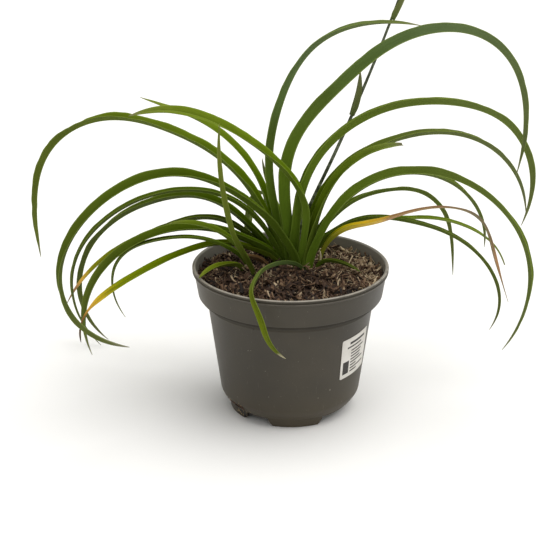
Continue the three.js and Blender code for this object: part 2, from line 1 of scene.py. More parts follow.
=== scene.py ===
# %% [markdown]
# # A potted daylily
# The solid model already has every piece at its real size: the pot with its label, the soil,
# twenty-nine leaves, two dry sheaths, and the flower stalk with its bracts and buds. This script gives
# each of them the surface that the real thing has, and puts the plant in front of a camera.
# All lengths below are in millimetres until a mesh is made, and Blender's own unit is the metre.

import math
import random

import bmesh
import bpy
from mathutils import Matrix, Vector, noise


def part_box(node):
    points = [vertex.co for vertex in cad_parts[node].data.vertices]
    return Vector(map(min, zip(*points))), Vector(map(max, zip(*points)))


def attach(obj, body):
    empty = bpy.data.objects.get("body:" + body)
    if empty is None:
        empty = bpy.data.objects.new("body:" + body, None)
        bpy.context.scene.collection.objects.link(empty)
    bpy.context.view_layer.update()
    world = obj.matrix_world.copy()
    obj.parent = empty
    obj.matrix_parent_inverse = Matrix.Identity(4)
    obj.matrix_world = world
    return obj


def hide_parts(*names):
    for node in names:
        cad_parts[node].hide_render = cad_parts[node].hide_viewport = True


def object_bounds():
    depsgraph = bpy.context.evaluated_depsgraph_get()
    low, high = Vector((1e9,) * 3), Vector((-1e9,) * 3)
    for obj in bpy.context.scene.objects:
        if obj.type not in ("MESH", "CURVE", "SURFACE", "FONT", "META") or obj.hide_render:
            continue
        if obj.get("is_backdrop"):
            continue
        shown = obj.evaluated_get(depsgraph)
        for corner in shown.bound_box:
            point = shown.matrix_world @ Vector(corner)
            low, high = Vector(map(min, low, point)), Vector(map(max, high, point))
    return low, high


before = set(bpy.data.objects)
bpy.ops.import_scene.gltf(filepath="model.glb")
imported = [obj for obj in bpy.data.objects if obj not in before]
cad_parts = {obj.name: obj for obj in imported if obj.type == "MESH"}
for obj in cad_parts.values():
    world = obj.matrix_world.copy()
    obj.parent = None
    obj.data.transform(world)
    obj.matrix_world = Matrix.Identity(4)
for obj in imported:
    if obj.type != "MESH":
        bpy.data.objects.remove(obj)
solid_low, solid_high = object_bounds()
MM = 0.001

pot_low, pot_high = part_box("pot")
POT_AXIS = Vector(((pot_low.x + pot_high.x) / 2, (pot_low.y + pot_high.y) / 2, 0)) / MM
print("solid model", [round(c, 3) for c in solid_high - solid_low], "pot axis", POT_AXIS)

# %% [markdown]
# ## The camera
# It stands 1.3 m in front of the pot and looks down by about 22 degrees, so the soil shows as an
# ellipse. A long lens keeps the pot's sides nearly straight. The place is worked out from the pot,
# because the pot's rim and foot are the only true circles in the photograph.

# %% Camera
CAMERA_DISTANCE = 1300
CAMERA_HEIGHT = 650.25
CAMERA_PITCH = 21.569
CAMERA_TURN = 0.666
LENS = 93.32

camera_data = bpy.data.cameras.new("camera")
camera_data.lens = LENS
camera_data.sensor_width = 36
camera = bpy.data.objects.new("camera", camera_data)
camera.location = (POT_AXIS + Vector((0, -CAMERA_DISTANCE, CAMERA_HEIGHT))) * MM
camera.rotation_euler = (math.radians(90 - CAMERA_PITCH), 0, math.radians(CAMERA_TURN))
bpy.context.scene.collection.objects.link(camera)
bpy.context.scene.camera = camera

# %% [markdown]
# ## Light and floor
# The photograph was taken under a bright cloudy sky: light comes mostly from above, and shadows have
# no edges. So half of the light is a pale sky all round, and half is a sun that is as wide as a bank
# of cloud, a little to the right. The floor is plain and pale. It comes out white, as in the
# photograph, and throws light up under the leaves and on to the pot's wall.

# %% Sky and cloudy sun
SKY_STRENGTH = 0.62
SUN_STRENGTH = 2.4
SUN_WIDTH = 70
SUN_FROM = Vector((0.35, 0.05, 0.93))
FLOOR_SIZE = 12
FLOOR_WHITE = 0.9

scene = bpy.context.scene
scene.view_settings.view_transform = "Standard"
scene.world = bpy.data.worlds.new("pale_sky")
scene.world.use_nodes = True
sky = scene.world.node_tree.nodes["Background"]
sky.inputs["Color"].default_value = (1, 0.99, 0.965, 1)
sky.inputs["Strength"].default_value = SKY_STRENGTH

sun_data = bpy.data.lights.new("cloudy_sun", "SUN")
sun_data.energy = SUN_STRENGTH
sun_data.angle = math.radians(SUN_WIDTH)
sun_data.color = (1, 0.985, 0.95)
sun = bpy.data.objects.new("cloudy_sun", sun_data)
sun.rotation_euler = SUN_FROM.to_track_quat("Z", "Y").to_euler()
scene.collection.objects.link(sun)

# %% [markdown]
# ## A few small tools
# Every finish below is a node tree round one Principled shader. These helpers keep that short: one
# adds a node and feeds its sockets, one makes a colour ramp, and one turns the colours that an eye
# reads off a screen (0 to 255) into the linear numbers that a shader needs.

# %% Shader helpers


def linear(channel):
    share = channel / 255
    return share / 12.92 if share <= 0.04045 else ((share + 0.055) / 1.055) ** 2.4


def colour(red, green, blue):
    return (linear(red), linear(green), linear(blue), 1)


class Finish:
    """A material with one Principled shader, and short ways to add nodes to it"""

    def __init__(self, name):
        self.material = bpy.data.materials.new(name)
        self.material.use_nodes = True
        self.tree = self.material.node_tree
        self.shader = self.tree.nodes["Principled BSDF"]

    def feed(self, socket, value):
        if isinstance(value, bpy.types.NodeSocket):
            self.tree.links.new(value, socket)
        else:
            socket.default_value = value

    def node(self, kind, inputs, **settings):
        made = self.tree.nodes.new(kind)
        for name, value in settings.items():
            setattr(made, name, value)
        for name, value in inputs.items():
            self.feed(made.inputs[name], value)
        return made

    def place(self):
        return self.node("ShaderNodeTexCoord", {}).outputs["Object"]

    def point(self, x, y, z):
        """A place in the plant's own millimetres, as this material's Object coordinates"""
        return tuple((POT_AXIS + Vector((x, y, z))) * MM)

    def distance(self, where, centre):
        return self.node("ShaderNodeVectorMath", {0: where, 1: centre}, operation="DISTANCE").outputs[1]

    def vector(self, operation, a, b):
        return self.node("ShaderNodeVectorMath", {0: a, 1: b}, operation=operation).outputs["Vector"]

    def attribute(self, name):
        return self.node("ShaderNodeAttribute", {}, attribute_name=name).outputs["Fac"]

    def math(self, operation, a, b=0.0, c=0.0):
        return self.node("ShaderNodeMath", {0: a, 1: b, 2: c}, operation=operation).outputs[0]

    def times(self, a, b):
        return self.math("MULTIPLY", a, b)

    def most(self, a, b):
        return self.math("MAXIMUM", a, b)

    def smooth(self, value, low, high, to_low=0.0, to_high=1.0):
        inputs = {"Value": value, "From Min": low, "From Max": high, "To Min": to_low, "To Max": to_high}
        return self.node("ShaderNodeMapRange", inputs, interpolation_type="SMOOTHSTEP").outputs[0]

    def combine(self, x, y, z):
        return self.node("ShaderNodeCombineXYZ", {"X": x, "Y": y, "Z": z}).outputs[0]

    def noise(self, where, scale, detail=3.0, roughness=0.55, distortion=0.0):
        inputs = {"Vector": where, "Scale": scale, "Detail": detail, "Roughness": roughness,
                  "Distortion": distortion}
        return self.node("ShaderNodeTexNoise", inputs).outputs["Fac"]

    def ramp(self, factor, stops):
        """Colours at places along a number from 0 to 1"""
        made = self.node("ShaderNodeValToRGB", {"Fac": factor})
        elements = made.color_ramp.elements
        while len(elements) < len(stops):
            elements.new(0.5)
        for element, (position, tint) in zip(elements, stops):
            element.position = position
            element.color = colour(*tint)
        return made.outputs["Color"]

    def mix(self, share, first, second, blend="MIX"):
        inputs = {0: share, 6: first, 7: second}
        return self.node("ShaderNodeMix", inputs, data_type="RGBA", blend_type=blend).outputs[2]

    def bump(self, height, strength, distance):
        inputs = {"Height": height, "Strength": strength, "Distance": distance}
        return self.node("ShaderNodeBump", inputs).outputs["Normal"]

    def surface(self, **sockets):
        for name, value in sockets.items():
            self.feed(self.shader.inputs[name.replace("_", " ")], value)
        return self.material


# %% [markdown]
# The floor is one flat square, wide enough to fill the whole view of the camera.

# %% Floor
floor_mesh = bpy.data.meshes.new("floor")
shape = bmesh.new()
bmesh.ops.create_grid(shape, x_segments=1, y_segments=1, size=FLOOR_SIZE / 2)
shape.to_mesh(floor_mesh)
shape.free()
floor = bpy.data.objects.new("floor", floor_mesh)
bpy.context.scene.collection.objects.link(floor)
floor_finish = Finish("pale_floor")
floor_mesh.materials.append(floor_finish.surface(
    Base_Color=(FLOOR_WHITE, FLOOR_WHITE, FLOOR_WHITE, 1), Roughness=0.9))
floor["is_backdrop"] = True

# %% [markdown]
# Each finished piece is one object at the origin with its place in its mesh. `show` makes it from a
# bmesh whose points are millimetres in the plant's own frame, hides the solid it stands for, and
# gives it its materials.

# %% Piece helper


def show(name, shape, materials, nodes=(), smooth_angle=None):
    """Makes a piece of the plant from a bmesh in millimetres round the pot's axis"""
    to_metres = Matrix.Scale(MM, 4) @ Matrix.Translation(POT_AXIS)
    bmesh.ops.transform(shape, matrix=to_metres, verts=shape.verts)
    mesh = bpy.data.meshes.new(name)
    shape.to_mesh(mesh)
    shape.free()
    mesh.shade_smooth()
    if smooth_angle:
        mesh.set_sharp_from_angle(angle=math.radians(smooth_angle))
    for material in materials:
        mesh.materials.append(material)
    piece = bpy.data.objects.new(name, mesh)
    bpy.context.scene.collection.objects.link(piece)
    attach(piece, "root")
    if nodes:
        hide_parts(*nodes)
    return piece


# %% [markdown]
# ## The pot
# A thin moulding is a turned shape, so its cross-section is drawn once as a line and spun round the
# axis. Each point of the section has a radius, a height and how far its corner is rounded. Angles
# round the pot count from its front, and its right-hand side is at 90 degrees.

# %% Pot section
POT_STEPS = 192
POT_SECTION = [
    (0, 8.5, 0), (57.4, 8.5, 0), (57.4, 8, 0), (57.4, 5, 0), (57.4, 2, 0), (57.4, 0, 0.5),
    (60, 0, 0.7), (60.2, 2, 0), (60.6, 5, 0), (61, 8, 0), (63.4, 10.8, 0.6),
    (64.4, 12, 0), (67.8, 17, 0), (69.2, 20, 1.5), (81.3, 110, 1.5), (83.2, 112.8, 0.8),
    (88.5, 116.9, 1), (90.4, 119.6, 0.7), (93.9, 141.8, 0.5), (95.3, 142.6, 0.3), (95.9, 143.4, 0.3),
    (95.8, 144.4, 0.3), (94.9, 145, 0.2), (94.9, 145.5, 0.2), (96, 146, 0.3), (96.1, 147.1, 0.5),
    (95.2, 148, 0.5), (93.6, 148, 0.5), (92.6, 147.2, 0.4), (92.2, 145, 1), (88.6, 119.6, 2),
    (86.5, 117.6, 1), (79.5, 111, 1.5), (67.4, 20, 2), (65.4, 17, 0), (61.8, 12, 0), (61, 10.9, 0.4),
    (0, 10.9, 0),
]
ROUNDING_STEPS = 4


def rounded(section):
    """The section's points with each rounded corner turned into a short curve"""
    points = []
    for i, (radius, height, rounding) in enumerate(section):
        corner = Vector((radius, 0, height))
        if not rounding:
            points.append(corner)
            continue
        before = (Vector((section[i - 1][0], 0, section[i - 1][1])) - corner).normalized() * rounding
        after = (Vector((section[i + 1][0], 0, section[i + 1][1])) - corner).normalized() * rounding
        for k in range(ROUNDING_STEPS + 1):
            t = k / ROUNDING_STEPS
            points.append(corner + before * (1 - t) ** 2 + after * t ** 2)
    return points


def spun(shape, points, steps):
    """Spins an open line of points a full turn round the Z axis"""
    line = [shape.verts.new(point) for point in points]
    edges = [shape.edges.new(pair) for pair in zip(line, line[1:])]
    bmesh.ops.spin(shape, geom=line + edges, cent=(0, 0, 0), axis=(0, 0, 1), dvec=(0, 0, 0),
                   angle=2 * math.pi, steps=steps, use_merge=True, use_normal_flip=False,
                   use_duplicate=False)
    bmesh.ops.remove_doubles(shape, verts=shape.verts, dist=0.001)


def turn_of(point):
    """Degrees round the pot from the front, with the right-hand side at 90"""
    return (math.degrees(math.atan2(point.y, point.x)) + 90) % 360


# %% [markdown]
# The drainage slots are faces taken out of the outer and the inner wall, with a bridge between the
# two holes, so the wall keeps its thickness inside the slot. The ring foot is cut into four feet the
# same way, and the ends of each foot slant inwards as they go down.

# %% Pot
FOOT_GAPS = [(31, 90), (137, 157), (211, 270), (317, 339)]
DRAIN_SLOTS = [(-72, -44), (108, 136)]
SLOT_LOW, SLOT_HIGH = 12, 17
FLOOR_REACH = 60
FOOT_CUT = 8
FOOT_RING = (57, 61)
FOOT_SLANT = 5
FOOT_END = 14
NEARLY = 0.01


def open_edges(shape):
    return [edge for edge in shape.edges if edge.is_boundary]


def faces_within(shape, stretch, wanted):
    """Faces in a stretch round the pot whose middle passes a test"""
    start, end = stretch
    found = []
    for face in shape.faces:
        middle = face.calc_center_median()
        if (turn_of(middle) - start) % 360 <= end - start and wanted(face, middle):
            found.append(face)
    return found


def in_slot_band(face, middle):
    """Whether a face of the wall, and not of the floor, lies at a slot's height"""
    heights = [vert.co.z for vert in face.verts]
    in_band = SLOT_LOW - NEARLY < min(heights) and max(heights) < SLOT_HIGH + NEARLY
    return in_band and middle.to_2d().length > FLOOR_REACH


pot = bmesh.new()
spun(pot, rounded(POT_SECTION), POT_STEPS)
for gap in FOOT_GAPS:
    opening = faces_within(pot, gap, lambda face, middle: middle.z < FOOT_CUT - NEARLY)
    bmesh.ops.delete(pot, geom=opening, context="FACES")
    arcs = [e for e in open_edges(pot) if all(abs(v.co.z - FOOT_CUT) < NEARLY for v in e.verts)]
    bmesh.ops.bridge_loops(pot, edges=arcs)
    bmesh.ops.holes_fill(pot, edges=open_edges(pot), sides=0)
for vert in pot.verts:
    low = max(1 - vert.co.z / FOOT_CUT, 0)
    if low and FOOT_RING[0] < vert.co.to_2d().length < FOOT_RING[1]:
        ends = [(end, side) for gap in FOOT_GAPS for end, side in zip(gap, (-1, 1))]
        for end, side in ends:
            away = (turn_of(vert.co) - end) * side
            if -1 < away < FOOT_END:
                slant = side * FOOT_SLANT * low ** 1.7 * (1 - max(away, 0) / FOOT_END)
                vert.co.xy = Matrix.Rotation(math.radians(slant), 2) @ vert.co.xy
for slot in DRAIN_SLOTS:
    bmesh.ops.delete(pot, geom=faces_within(pot, slot, in_slot_band), context="FACES")
    bmesh.ops.bridge_loops(pot, edges=open_edges(pot))
bmesh.ops.recalc_face_normals(pot, faces=pot.faces)
print("pot", len(pot.faces), "faces, open edges", len(open_edges(pot)))

# %% [markdown]
# Real nursery pots are recycled polypropylene: a warm dark taupe with a satin shine, a faint cloudy
# tone, a fine grain from the mould, faint vertical scuffs and pale dust. Each of these is one noise
# at its own scale, on Object coordinates, which are metres here: a noise scale of 1000 is 1 mm.
# Two pale lines on the lip are painted highlights, strongest at the front, so the height of a point
# decides how much highlight it gets.

# %% Pot plastic
# Painted highlight lines on the lip, as (height, reach, strength)
LIP_HIGHLIGHT_LINES = [(0.1479, 0.0009, 0.75), (0.1439, 0.0005, 0.2)]

plastic = Finish("moulded_taupe_plastic")
place = plastic.place()
axes = plastic.node("ShaderNodeSeparateXYZ", {0: place}).outputs
height = axes["Z"]
clouds = plastic.noise(place, 14, 3)
tone = plastic.ramp(clouds, [(0.3, (57, 53, 45)), (0.7, (69, 64, 54))])
grain = plastic.noise(place, 1500, 3, 0.6)
tall = plastic.node("ShaderNodeMapping", {"Vector": place, "Scale": (420, 420, 26)}).outputs[0]
scuffs = plastic.smooth(plastic.noise(tall, 1, 4, 0.7), 0.62, 0.8, 0, 0.14)
specks = plastic.smooth(plastic.noise(place, 620, 2, 0.5), 0.73, 0.78, 0, 0.4)
dust_and_highlight = plastic.most(scuffs, specks)
# Painted highlights on the lip: strongest at the front, broken up by slow noise
highlight_front = plastic.smooth(axes["Y"], 0, 0.06, 1, 0.25)
highlight_breaks = plastic.smooth(plastic.noise(place, 55, 4, 0.7), 0.3, 0.55, 0.35, 1)
for highlight_height, reach, strength in LIP_HIGHLIGHT_LINES:
    off = plastic.math("ABSOLUTE", plastic.math("SUBTRACT", height, highlight_height))
    line = plastic.times(plastic.smooth(off, 0, reach, strength, 0), highlight_front)
    dust_and_highlight = plastic.most(dust_and_highlight, plastic.times(line, highlight_breaks))
plastic_colour = plastic.mix(dust_and_highlight, tone, colour(176, 169, 158))

# %% [markdown]
# Dirt and painted light come on top, one layer after another. Shade is painted into the corner
# under the collar, the foot and the left side are browner, and the inside of the rim above the soil
# is painted pale, as light on a wall that stands in shade. Wet peat has run out of the slot at the
# front left, and it clings to the foot below it with paler bits in it. Three small marks stand where
# the photograph shows them.

# %% Pot dirt and painted light
# Small marks on the wall, as (place, size, colour)
POT_MARKS = [((-34.5, -74, 110.5), 1.2, (34, 29, 24)), ((38.7, -60.8, 41.5), 1.1, (128, 122, 110)),
             ((27.3, -65.8, 35), 0.8, (120, 114, 102))]
RUN_OUT = (-46, -41, 8)
COLLAR_FOOT = 0.1192
INSIDE_RADIUS = 0.0696
INSIDE_SLOPE = 0.165

# Painted shade: the corner under the collar is darkened, most just below the collar's edge
under_collar = plastic.math("LESS_THAN", height, COLLAR_FOOT)
painted_shade_under_collar = plastic.times(plastic.smooth(height, 0.1085, 0.1185, 0, 0.6), under_collar)
# The foot and the left side are made browner
browner_foot_and_left = plastic.most(plastic.smooth(height, 0, 0.05, 0.3, 0),
                        plastic.smooth(axes["X"], -0.09, -0.05, 0.35, 0))
# Painted light: the inside of the rim above the soil is made pale, against the shade it stands in
from_axis = plastic.vector("MULTIPLY", plastic.vector("SUBTRACT", place, plastic.point(0, 0, 0)), (1, 1, 0))
slanted = plastic.math("MULTIPLY_ADD", height, -INSIDE_SLOPE, plastic.distance(from_axis, (0, 0, 0)))
inside = plastic.math("LESS_THAN", slanted, INSIDE_RADIUS)
painted_light_inside_rim = plastic.times(inside, plastic.smooth(height, 0.125, 0.132, 0, 0.75))
near_slot = plastic.smooth(plastic.distance(place, plastic.point(*RUN_OUT)), 0.008, 0.017, 1, 0)
run_out = plastic.times(near_slot, plastic.smooth(plastic.noise(place, 240, 3, 0.6), 0.4, 0.5, 0.4, 1))
stuck_bits = plastic.times(run_out, plastic.smooth(plastic.noise(place, 520, 2, 0.5), 0.6, 0.63))
dirt_and_painted_light = [(painted_shade_under_collar, (24, 21, 15)), (browner_foot_and_left, (92, 81, 60)), (painted_light_inside_rim, (150, 146, 138)),
        (run_out, (30, 26, 20)), (stuck_bits, (184, 158, 116))]
for spot_place, size, tint in POT_MARKS:
    off = plastic.distance(place, plastic.point(*spot_place))
    ragged = plastic.math("MULTIPLY_ADD", plastic.noise(place, 900, 2), 0.0012, off)
    dirt_and_painted_light.append((plastic.smooth(ragged, size * MM, (size + 0.5) * MM, 0.8, 0), tint))
for share, tint in dirt_and_painted_light:
    plastic_colour = plastic.mix(share, plastic_colour, colour(*tint))
print(len(dirt_and_painted_light), "layers of dirt")

# %% [markdown]
# The satin shine varies with the clouds, and the corner under the collar, where shade is painted, is
# made rough so that it loses the shine.
# A bevel softens every sharp edge a little, because a moulding has none.

# %% Pot finish
SHARP_ANGLE = 38
BEVEL_WIDTH = 0.3

satin = plastic.smooth(clouds, 0.3, 0.7, 0.42, 0.52)
dull_corner = plastic.times(plastic.smooth(height, 0.107, 0.112, 0, 0.9), under_collar)
pot_satin = plastic.surface(
    Base_Color=plastic_colour, Specular_IOR_Level=0.3, Roughness=plastic.most(satin, dull_corner),
    Normal=plastic.bump(grain, 0.5, 0.00006))

pot_piece = show("moulded_pot", pot, [pot_satin], ["pot"], smooth_angle=SHARP_ANGLE)
softened = pot_piece.modifiers.new("softened_edges", "BEVEL")
softened.width = BEVEL_WIDTH * MM
softened.segments = 2
softened.limit_method = "ANGLE"
softened.angle_limit = math.radians(SHARP_ANGLE)

# %% [markdown]
# ## The soil
# The root ball is peat and shredded bark. A fine grid gives the bed its lumps: it is cut to a disc,
# its edge is set on the pot's inside wall, and the open edge is drawn down along that wall and closed
# underneath, so soil also shows behind the drainage slots. Loose material lies on top as real pieces:
# crumbs, bark chips, curled shreds and fibres. Every random choice comes from a numbered generator.

# %% Soil bed
SOIL_RADIUS = 91.1
SOIL_CELL = 1.15
SOIL_WALL = [(90.4, 134), (88.3, 120), (86, 117.9), (79.1, 111.3), (67.1, 20.2), (64, 15.9),
             (60.4, 11.2)]
SOIL_LEVEL = 138.4
SOIL_EDGE = 90.4
EDGE_FALL = 1.4
CROWN_X, CROWN_Y = 2, 26
CROWN_MOUND, CROWN_SPREAD = 1.4, 34
WAVES = 0.5
LUMPS = 2.5
PITS = 3


def smoothstep(t):
    t = min(max(t, 0), 1)
    return t * t * (3 - 2 * t)


def soil_height(x, y):
    """Height of the soil: lower at the wall, a mound at the crown, and low waves"""
    outwards = smoothstep(math.hypot(x, y) / SOIL_EDGE)
    from_crown = math.hypot(x - CROWN_X, y - CROWN_Y)
    waves = math.sin(x * 0.11 + 1.3) * math.cos(y * 0.13 - 0.4) + 0.6 * math.sin(x * 0.31 - y * 0.27)
    mound = CROWN_MOUND * math.exp(-(from_crown / CROWN_SPREAD) ** 2)
    return SOIL_LEVEL - EDGE_FALL * outwards + mound + WAVES * waves


def soil_lumps(x, y):
    """Crumbly relief of the soil, a few millimetres up and down"""
    where = Vector((x, y, 0))
    lumps = noise.fractal(where * 0.06, 0.8, 2.1, 6)
    pits = noise.turbulence(where * 0.15 + Vector((7, 3, 1)), 3, False)
    return LUMPS * lumps + PITS * (pits - 0.5)


def soil_top(x, y):
    return soil_height(x, y) + soil_lumps(x, y)


soil = bmesh.new()
cells = round(2 * SOIL_RADIUS / SOIL_CELL)
bmesh.ops.create_grid(soil, x_segments=cells, y_segments=cells, size=SOIL_RADIUS)
outside = [v for v in soil.verts if v.co.to_2d().length > SOIL_RADIUS]
bmesh.ops.delete(soil, geom=outside, context="VERTS")
for vert in soil.verts:
    if vert.is_boundary:
        vert.co.xy = vert.co.xy.normalized() * SOIL_RADIUS
for vert in soil.verts:
    vert.co.z = soil_top(vert.co.x, vert.co.y)
for radius, height in SOIL_WALL:
    drawn = bmesh.ops.extrude_edge_only(soil, edges=open_edges(soil))["geom"]
    for vert in [g for g in drawn if isinstance(g, bmesh.types.BMVert)]:
        vert.co.xy = vert.co.xy.normalized() * radius
        vert.co.z = height
bmesh.ops.holes_fill(soil, edges=open_edges(soil), sides=0)
bmesh.ops.recalc_face_normals(soil, faces=soil.faces)
print("soil bed", len(soil.faces), "faces, open edges", len(open_edges(soil)))

# %% [markdown]
# Soil colour changes from crumb to crumb: brown to tan on the lumps and nearly black in the gaps.
# The colour follows the same noise as the bump, so the dark peat is painted darker still in its
# hollows, as painted shade.
# The loose pieces share one finish, which takes a lighter or a darker wood colour from a `tint`
# number stored on each piece's own points.

# %% Soil finishes
peat = Finish("damp_peat")
place = peat.place()
crumb_tone = peat.noise(place, 330, 5, 0.76, 0.8)
# Painted shade: the bump's hollows take the darkest colour
peat_colour = peat.ramp(crumb_tone, [
    (0.34, (20, 12, 6)), (0.46, (42, 27, 16)), (0.56, (74, 51, 34)), (0.68, (120, 92, 66))])
patches = peat.ramp(peat.noise(place, 45, 3), [(0.3, (150, 145, 140)), (0.7, (255, 245, 228))])
peat_finish = peat.surface(Base_Color=peat.mix(1, peat_colour, patches, "MULTIPLY"), Roughness=0.92,
                           Normal=peat.bump(crumb_tone, 0.9, 0.0006))

bark = Finish("shredded_bark")
place = bark.place()
wood = bark.ramp(bark.attribute("tint"), [
    (0, (26, 15, 8)), (0.35, (66, 43, 28)), (0.62, (108, 80, 57)), (0.82, (152, 126, 98)),
    (1, (214, 194, 162))])
fibre_lines = bark.noise(place, 900, 4, 0.65, 1.5)
shade = bark.ramp(fibre_lines, [(0.3, (168, 160, 150)), (0.62, (255, 255, 255))])
bark_finish = bark.surface(Base_Color=bark.mix(1, wood, shade, "MULTIPLY"), Roughness=0.86,
                           Normal=bark.bump(fibre_lines, 0.8, 0.0003))

show("soil_bed", soil, [peat_finish], ["soil"])

# %% [markdown]
# Loose pieces are placed by one rule: a random spot on the soil, a random turn, and a tilt. Some
# crumbs also sit in the mouth of the slot at the front left. Pieces that reach the pot's wall are
# drawn back inside it, and each piece gets its own `tint`, which is painted lighter at the back
# right as painted light.

# %% Places for loose pieces
LOOSE_RADIUS = 88
WALL_ROOM = 90.6
LOOSE_TILT = 0.35
SLOT_MOUTH = 61.8
SLOT_FLARE = 0.7
BACK_RIGHT_LIGHT = 0.36


def spot(draw, lift):
    """A random place on the soil with a random turn and tilt, as a matrix"""
    radius = LOOSE_RADIUS * math.sqrt(draw.random())
    angle = draw.uniform(0, 2 * math.pi)
    x, y = radius * math.cos(angle), radius * math.sin(angle)
    z = soil_top(x, y) + lift
    lean = Matrix.Rotation(draw.gauss(0, LOOSE_TILT), 4, "X")
    lean = lean @ Matrix.Rotation(draw.gauss(0, LOOSE_TILT), 4, "Y")
    turn = Matrix.Rotation(draw.uniform(0, 2 * math.pi), 4, "Z")
    return Matrix.Translation((x, y, z)) @ turn @ lean


def in_slot(draw, lift):
    """A random place in the mouth of the front left slot"""
    turn = math.radians(draw.uniform(*DRAIN_SLOTS[0]) - 90)
    height = draw.uniform(SLOT_LOW + 0.6, SLOT_HIGH - 0.4)
    radius = SLOT_MOUTH + (height - SLOT_LOW) * SLOT_FLARE + draw.uniform(-1, 1.6)
    return Matrix.Translation((radius * math.cos(turn), radius * math.sin(turn), height))


def painted_light_back_right(place):
    """Painted light: how much paler a piece is painted at the back right, where the leaves shade it"""
    return BACK_RIGHT_LIGHT * smoothstep((place.x + place.y - 12) / 70)


def loose(name, count, seed, make, lift, tone=(0.36, 0.2), where=spot):
    """One heap of scattered pieces, each with its own tint"""
    draw = random.Random(seed)
    heap = bmesh.new()
    heap.verts.layers.float.new("tint")
    for _ in range(count):
        one = bmesh.new()
        layer = one.verts.layers.float.new("tint")
        tint = draw.gauss(*tone)
        for vert in make(one, draw, where(draw, lift)):
            # The tint takes painted light at the back right
            vert[layer] = min(max(tint + draw.gauss(0, 0.09) + painted_light_back_right(vert.co), 0), 1)
            out = vert.co.to_2d().length
            if where is spot and out > WALL_ROOM:
                vert.co.xy = vert.co.xy * (WALL_ROOM / out)
        gathered = bpy.data.meshes.new("one")
        one.to_mesh(gathered)
        one.free()
        heap.from_mesh(gathered)
        bpy.data.meshes.remove(gathered)
    print(name, count, "pieces,", len(heap.faces), "faces")
    return heap


# %% [markdown]
# A crumb is a small ball pushed out of shape, a chip is a flat seven-sided plate with pulled corners,
# and a shred is a strip of a few cells bent along a curve, rolled, and lifted at its ends. They have
# few faces, because there are thousands of them. The shreds are what the eye sees first in this
# soil: long, curly and often as pale as straw. A modifier gives them their thickness.

# %% Loose soil pieces
CRUMBS = 500
CHIPS = 260
SHREDS = 1500
FIBRES = 260
SLOT_CRUMBS = 110
SHRED_THICKNESS = 0.35


def jitter(draw, *spreads):
    return Vector([draw.gauss(0, spread) for spread in spreads])


def crumb(shape, draw, where):
    size = 0.5 + 1.5 * draw.random() ** 3
    made = bmesh.ops.create_icosphere(shape, subdivisions=1, radius=size, matrix=where)["verts"]
    for vert in made:
        vert.co += jitter(draw, 0.2, 0.2, 0.2) * size
    return made


def chip(shape, draw, where):
    size = (draw.uniform(6, 19), draw.uniform(3, 8), draw.uniform(0.8, 2.4))
    made = bmesh.ops.create_cone(shape, cap_ends=True, segments=7, radius1=0.5, radius2=0.4, depth=1,
                                 matrix=where @ Matrix.Diagonal((*size, 1)))["verts"]
    for vert in made:
        vert.co += jitter(draw, 0.3, 0.3, 0.18)
    return made


def shred(shape, draw, where, lengths=(7, 27), widths=(0.7, 3.4)):
    length, width = draw.uniform(*lengths), draw.uniform(*widths)
    made = bmesh.ops.create_grid(shape, x_segments=8, y_segments=1, size=1)["verts"]
    bend, lift, twist = draw.gauss(0, 0.6), draw.uniform(0, 3.4), draw.gauss(0, 0.9)
    curved = abs(bend) > 0.05
    for vert in made:
        t, side = vert.co.x, vert.co.y * width / 2
        heading, roll = bend * t, twist * t
        along = length / 2 * (math.sin(heading) / bend if curved else t)
        aside = length / 2 * ((1 - math.cos(heading)) / bend if curved else 0)
        flat = side * math.cos(roll)
        vert.co = where @ Vector((along - flat * math.sin(heading), aside + flat * math.cos(heading),
                                  lift * t * t + side * math.sin(roll)))
    return made


def fibre(shape, draw, where):
    return shred(shape, draw, where, (5, 14), (0.35, 0.6))


heaps = [
    ("soil_crumbs", loose("crumbs", CRUMBS, 11, crumb, 0.15), None),
    ("slot_crumbs", loose("slot crumbs", SLOT_CRUMBS, 15, crumb, 0, (0.5, 0.2), in_slot), None),
    ("bark_chips", loose("chips", CHIPS, 12, chip, 0.5, (0.3, 0.2)), 40),
    ("bark_shreds", loose("shreds", SHREDS, 13, shred, 1.1, (0.46, 0.25)), None),
    ("pale_fibres", loose("fibres", FIBRES, 14, fibre, 1.2, (0.85, 0.15)), None),
]
for name, heap, smooth_angle in heaps:
    piece = show(name, heap, [bark_finish], smooth_angle=smooth_angle)
    if name in ("bark_shreds", "pale_fibres"):
        thickness = piece.modifiers.new("thickness", "SOLIDIFY")
        thickness.thickness = SHRED_THICKNESS * MM
        thickness.offset = 0

# %% [markdown]
# ## The label
# A sticker is a thin flat sheet wrapped on a cone. A grid is laid out flat in millimetres, its four
# corners are pulled in to a small radius, it is turned a little, because a hand stuck it on, and then
# each point is carried round the wall. The grid keeps a UV map, so the print follows the sheet.

# %% Label
LABEL_TURN = 55.5
LABEL_HALF_WIDTH = 20.8
LABEL_LOW, LABEL_HIGH = 50.5, 94
LABEL_TILT = math.radians(4.3)
LABEL_CORNER = 1.8
LABEL_STAND_OFF = 0.3
LABEL_THICKNESS = 0.25
WALL_LOW, WALL_HIGH = (69.2, 20), (81.3, 110)


def wall_radius(height):
    slope = (WALL_HIGH[0] - WALL_LOW[0]) / (WALL_HIGH[1] - WALL_LOW[1])
    return WALL_LOW[0] + slope * (height - WALL_LOW[1])


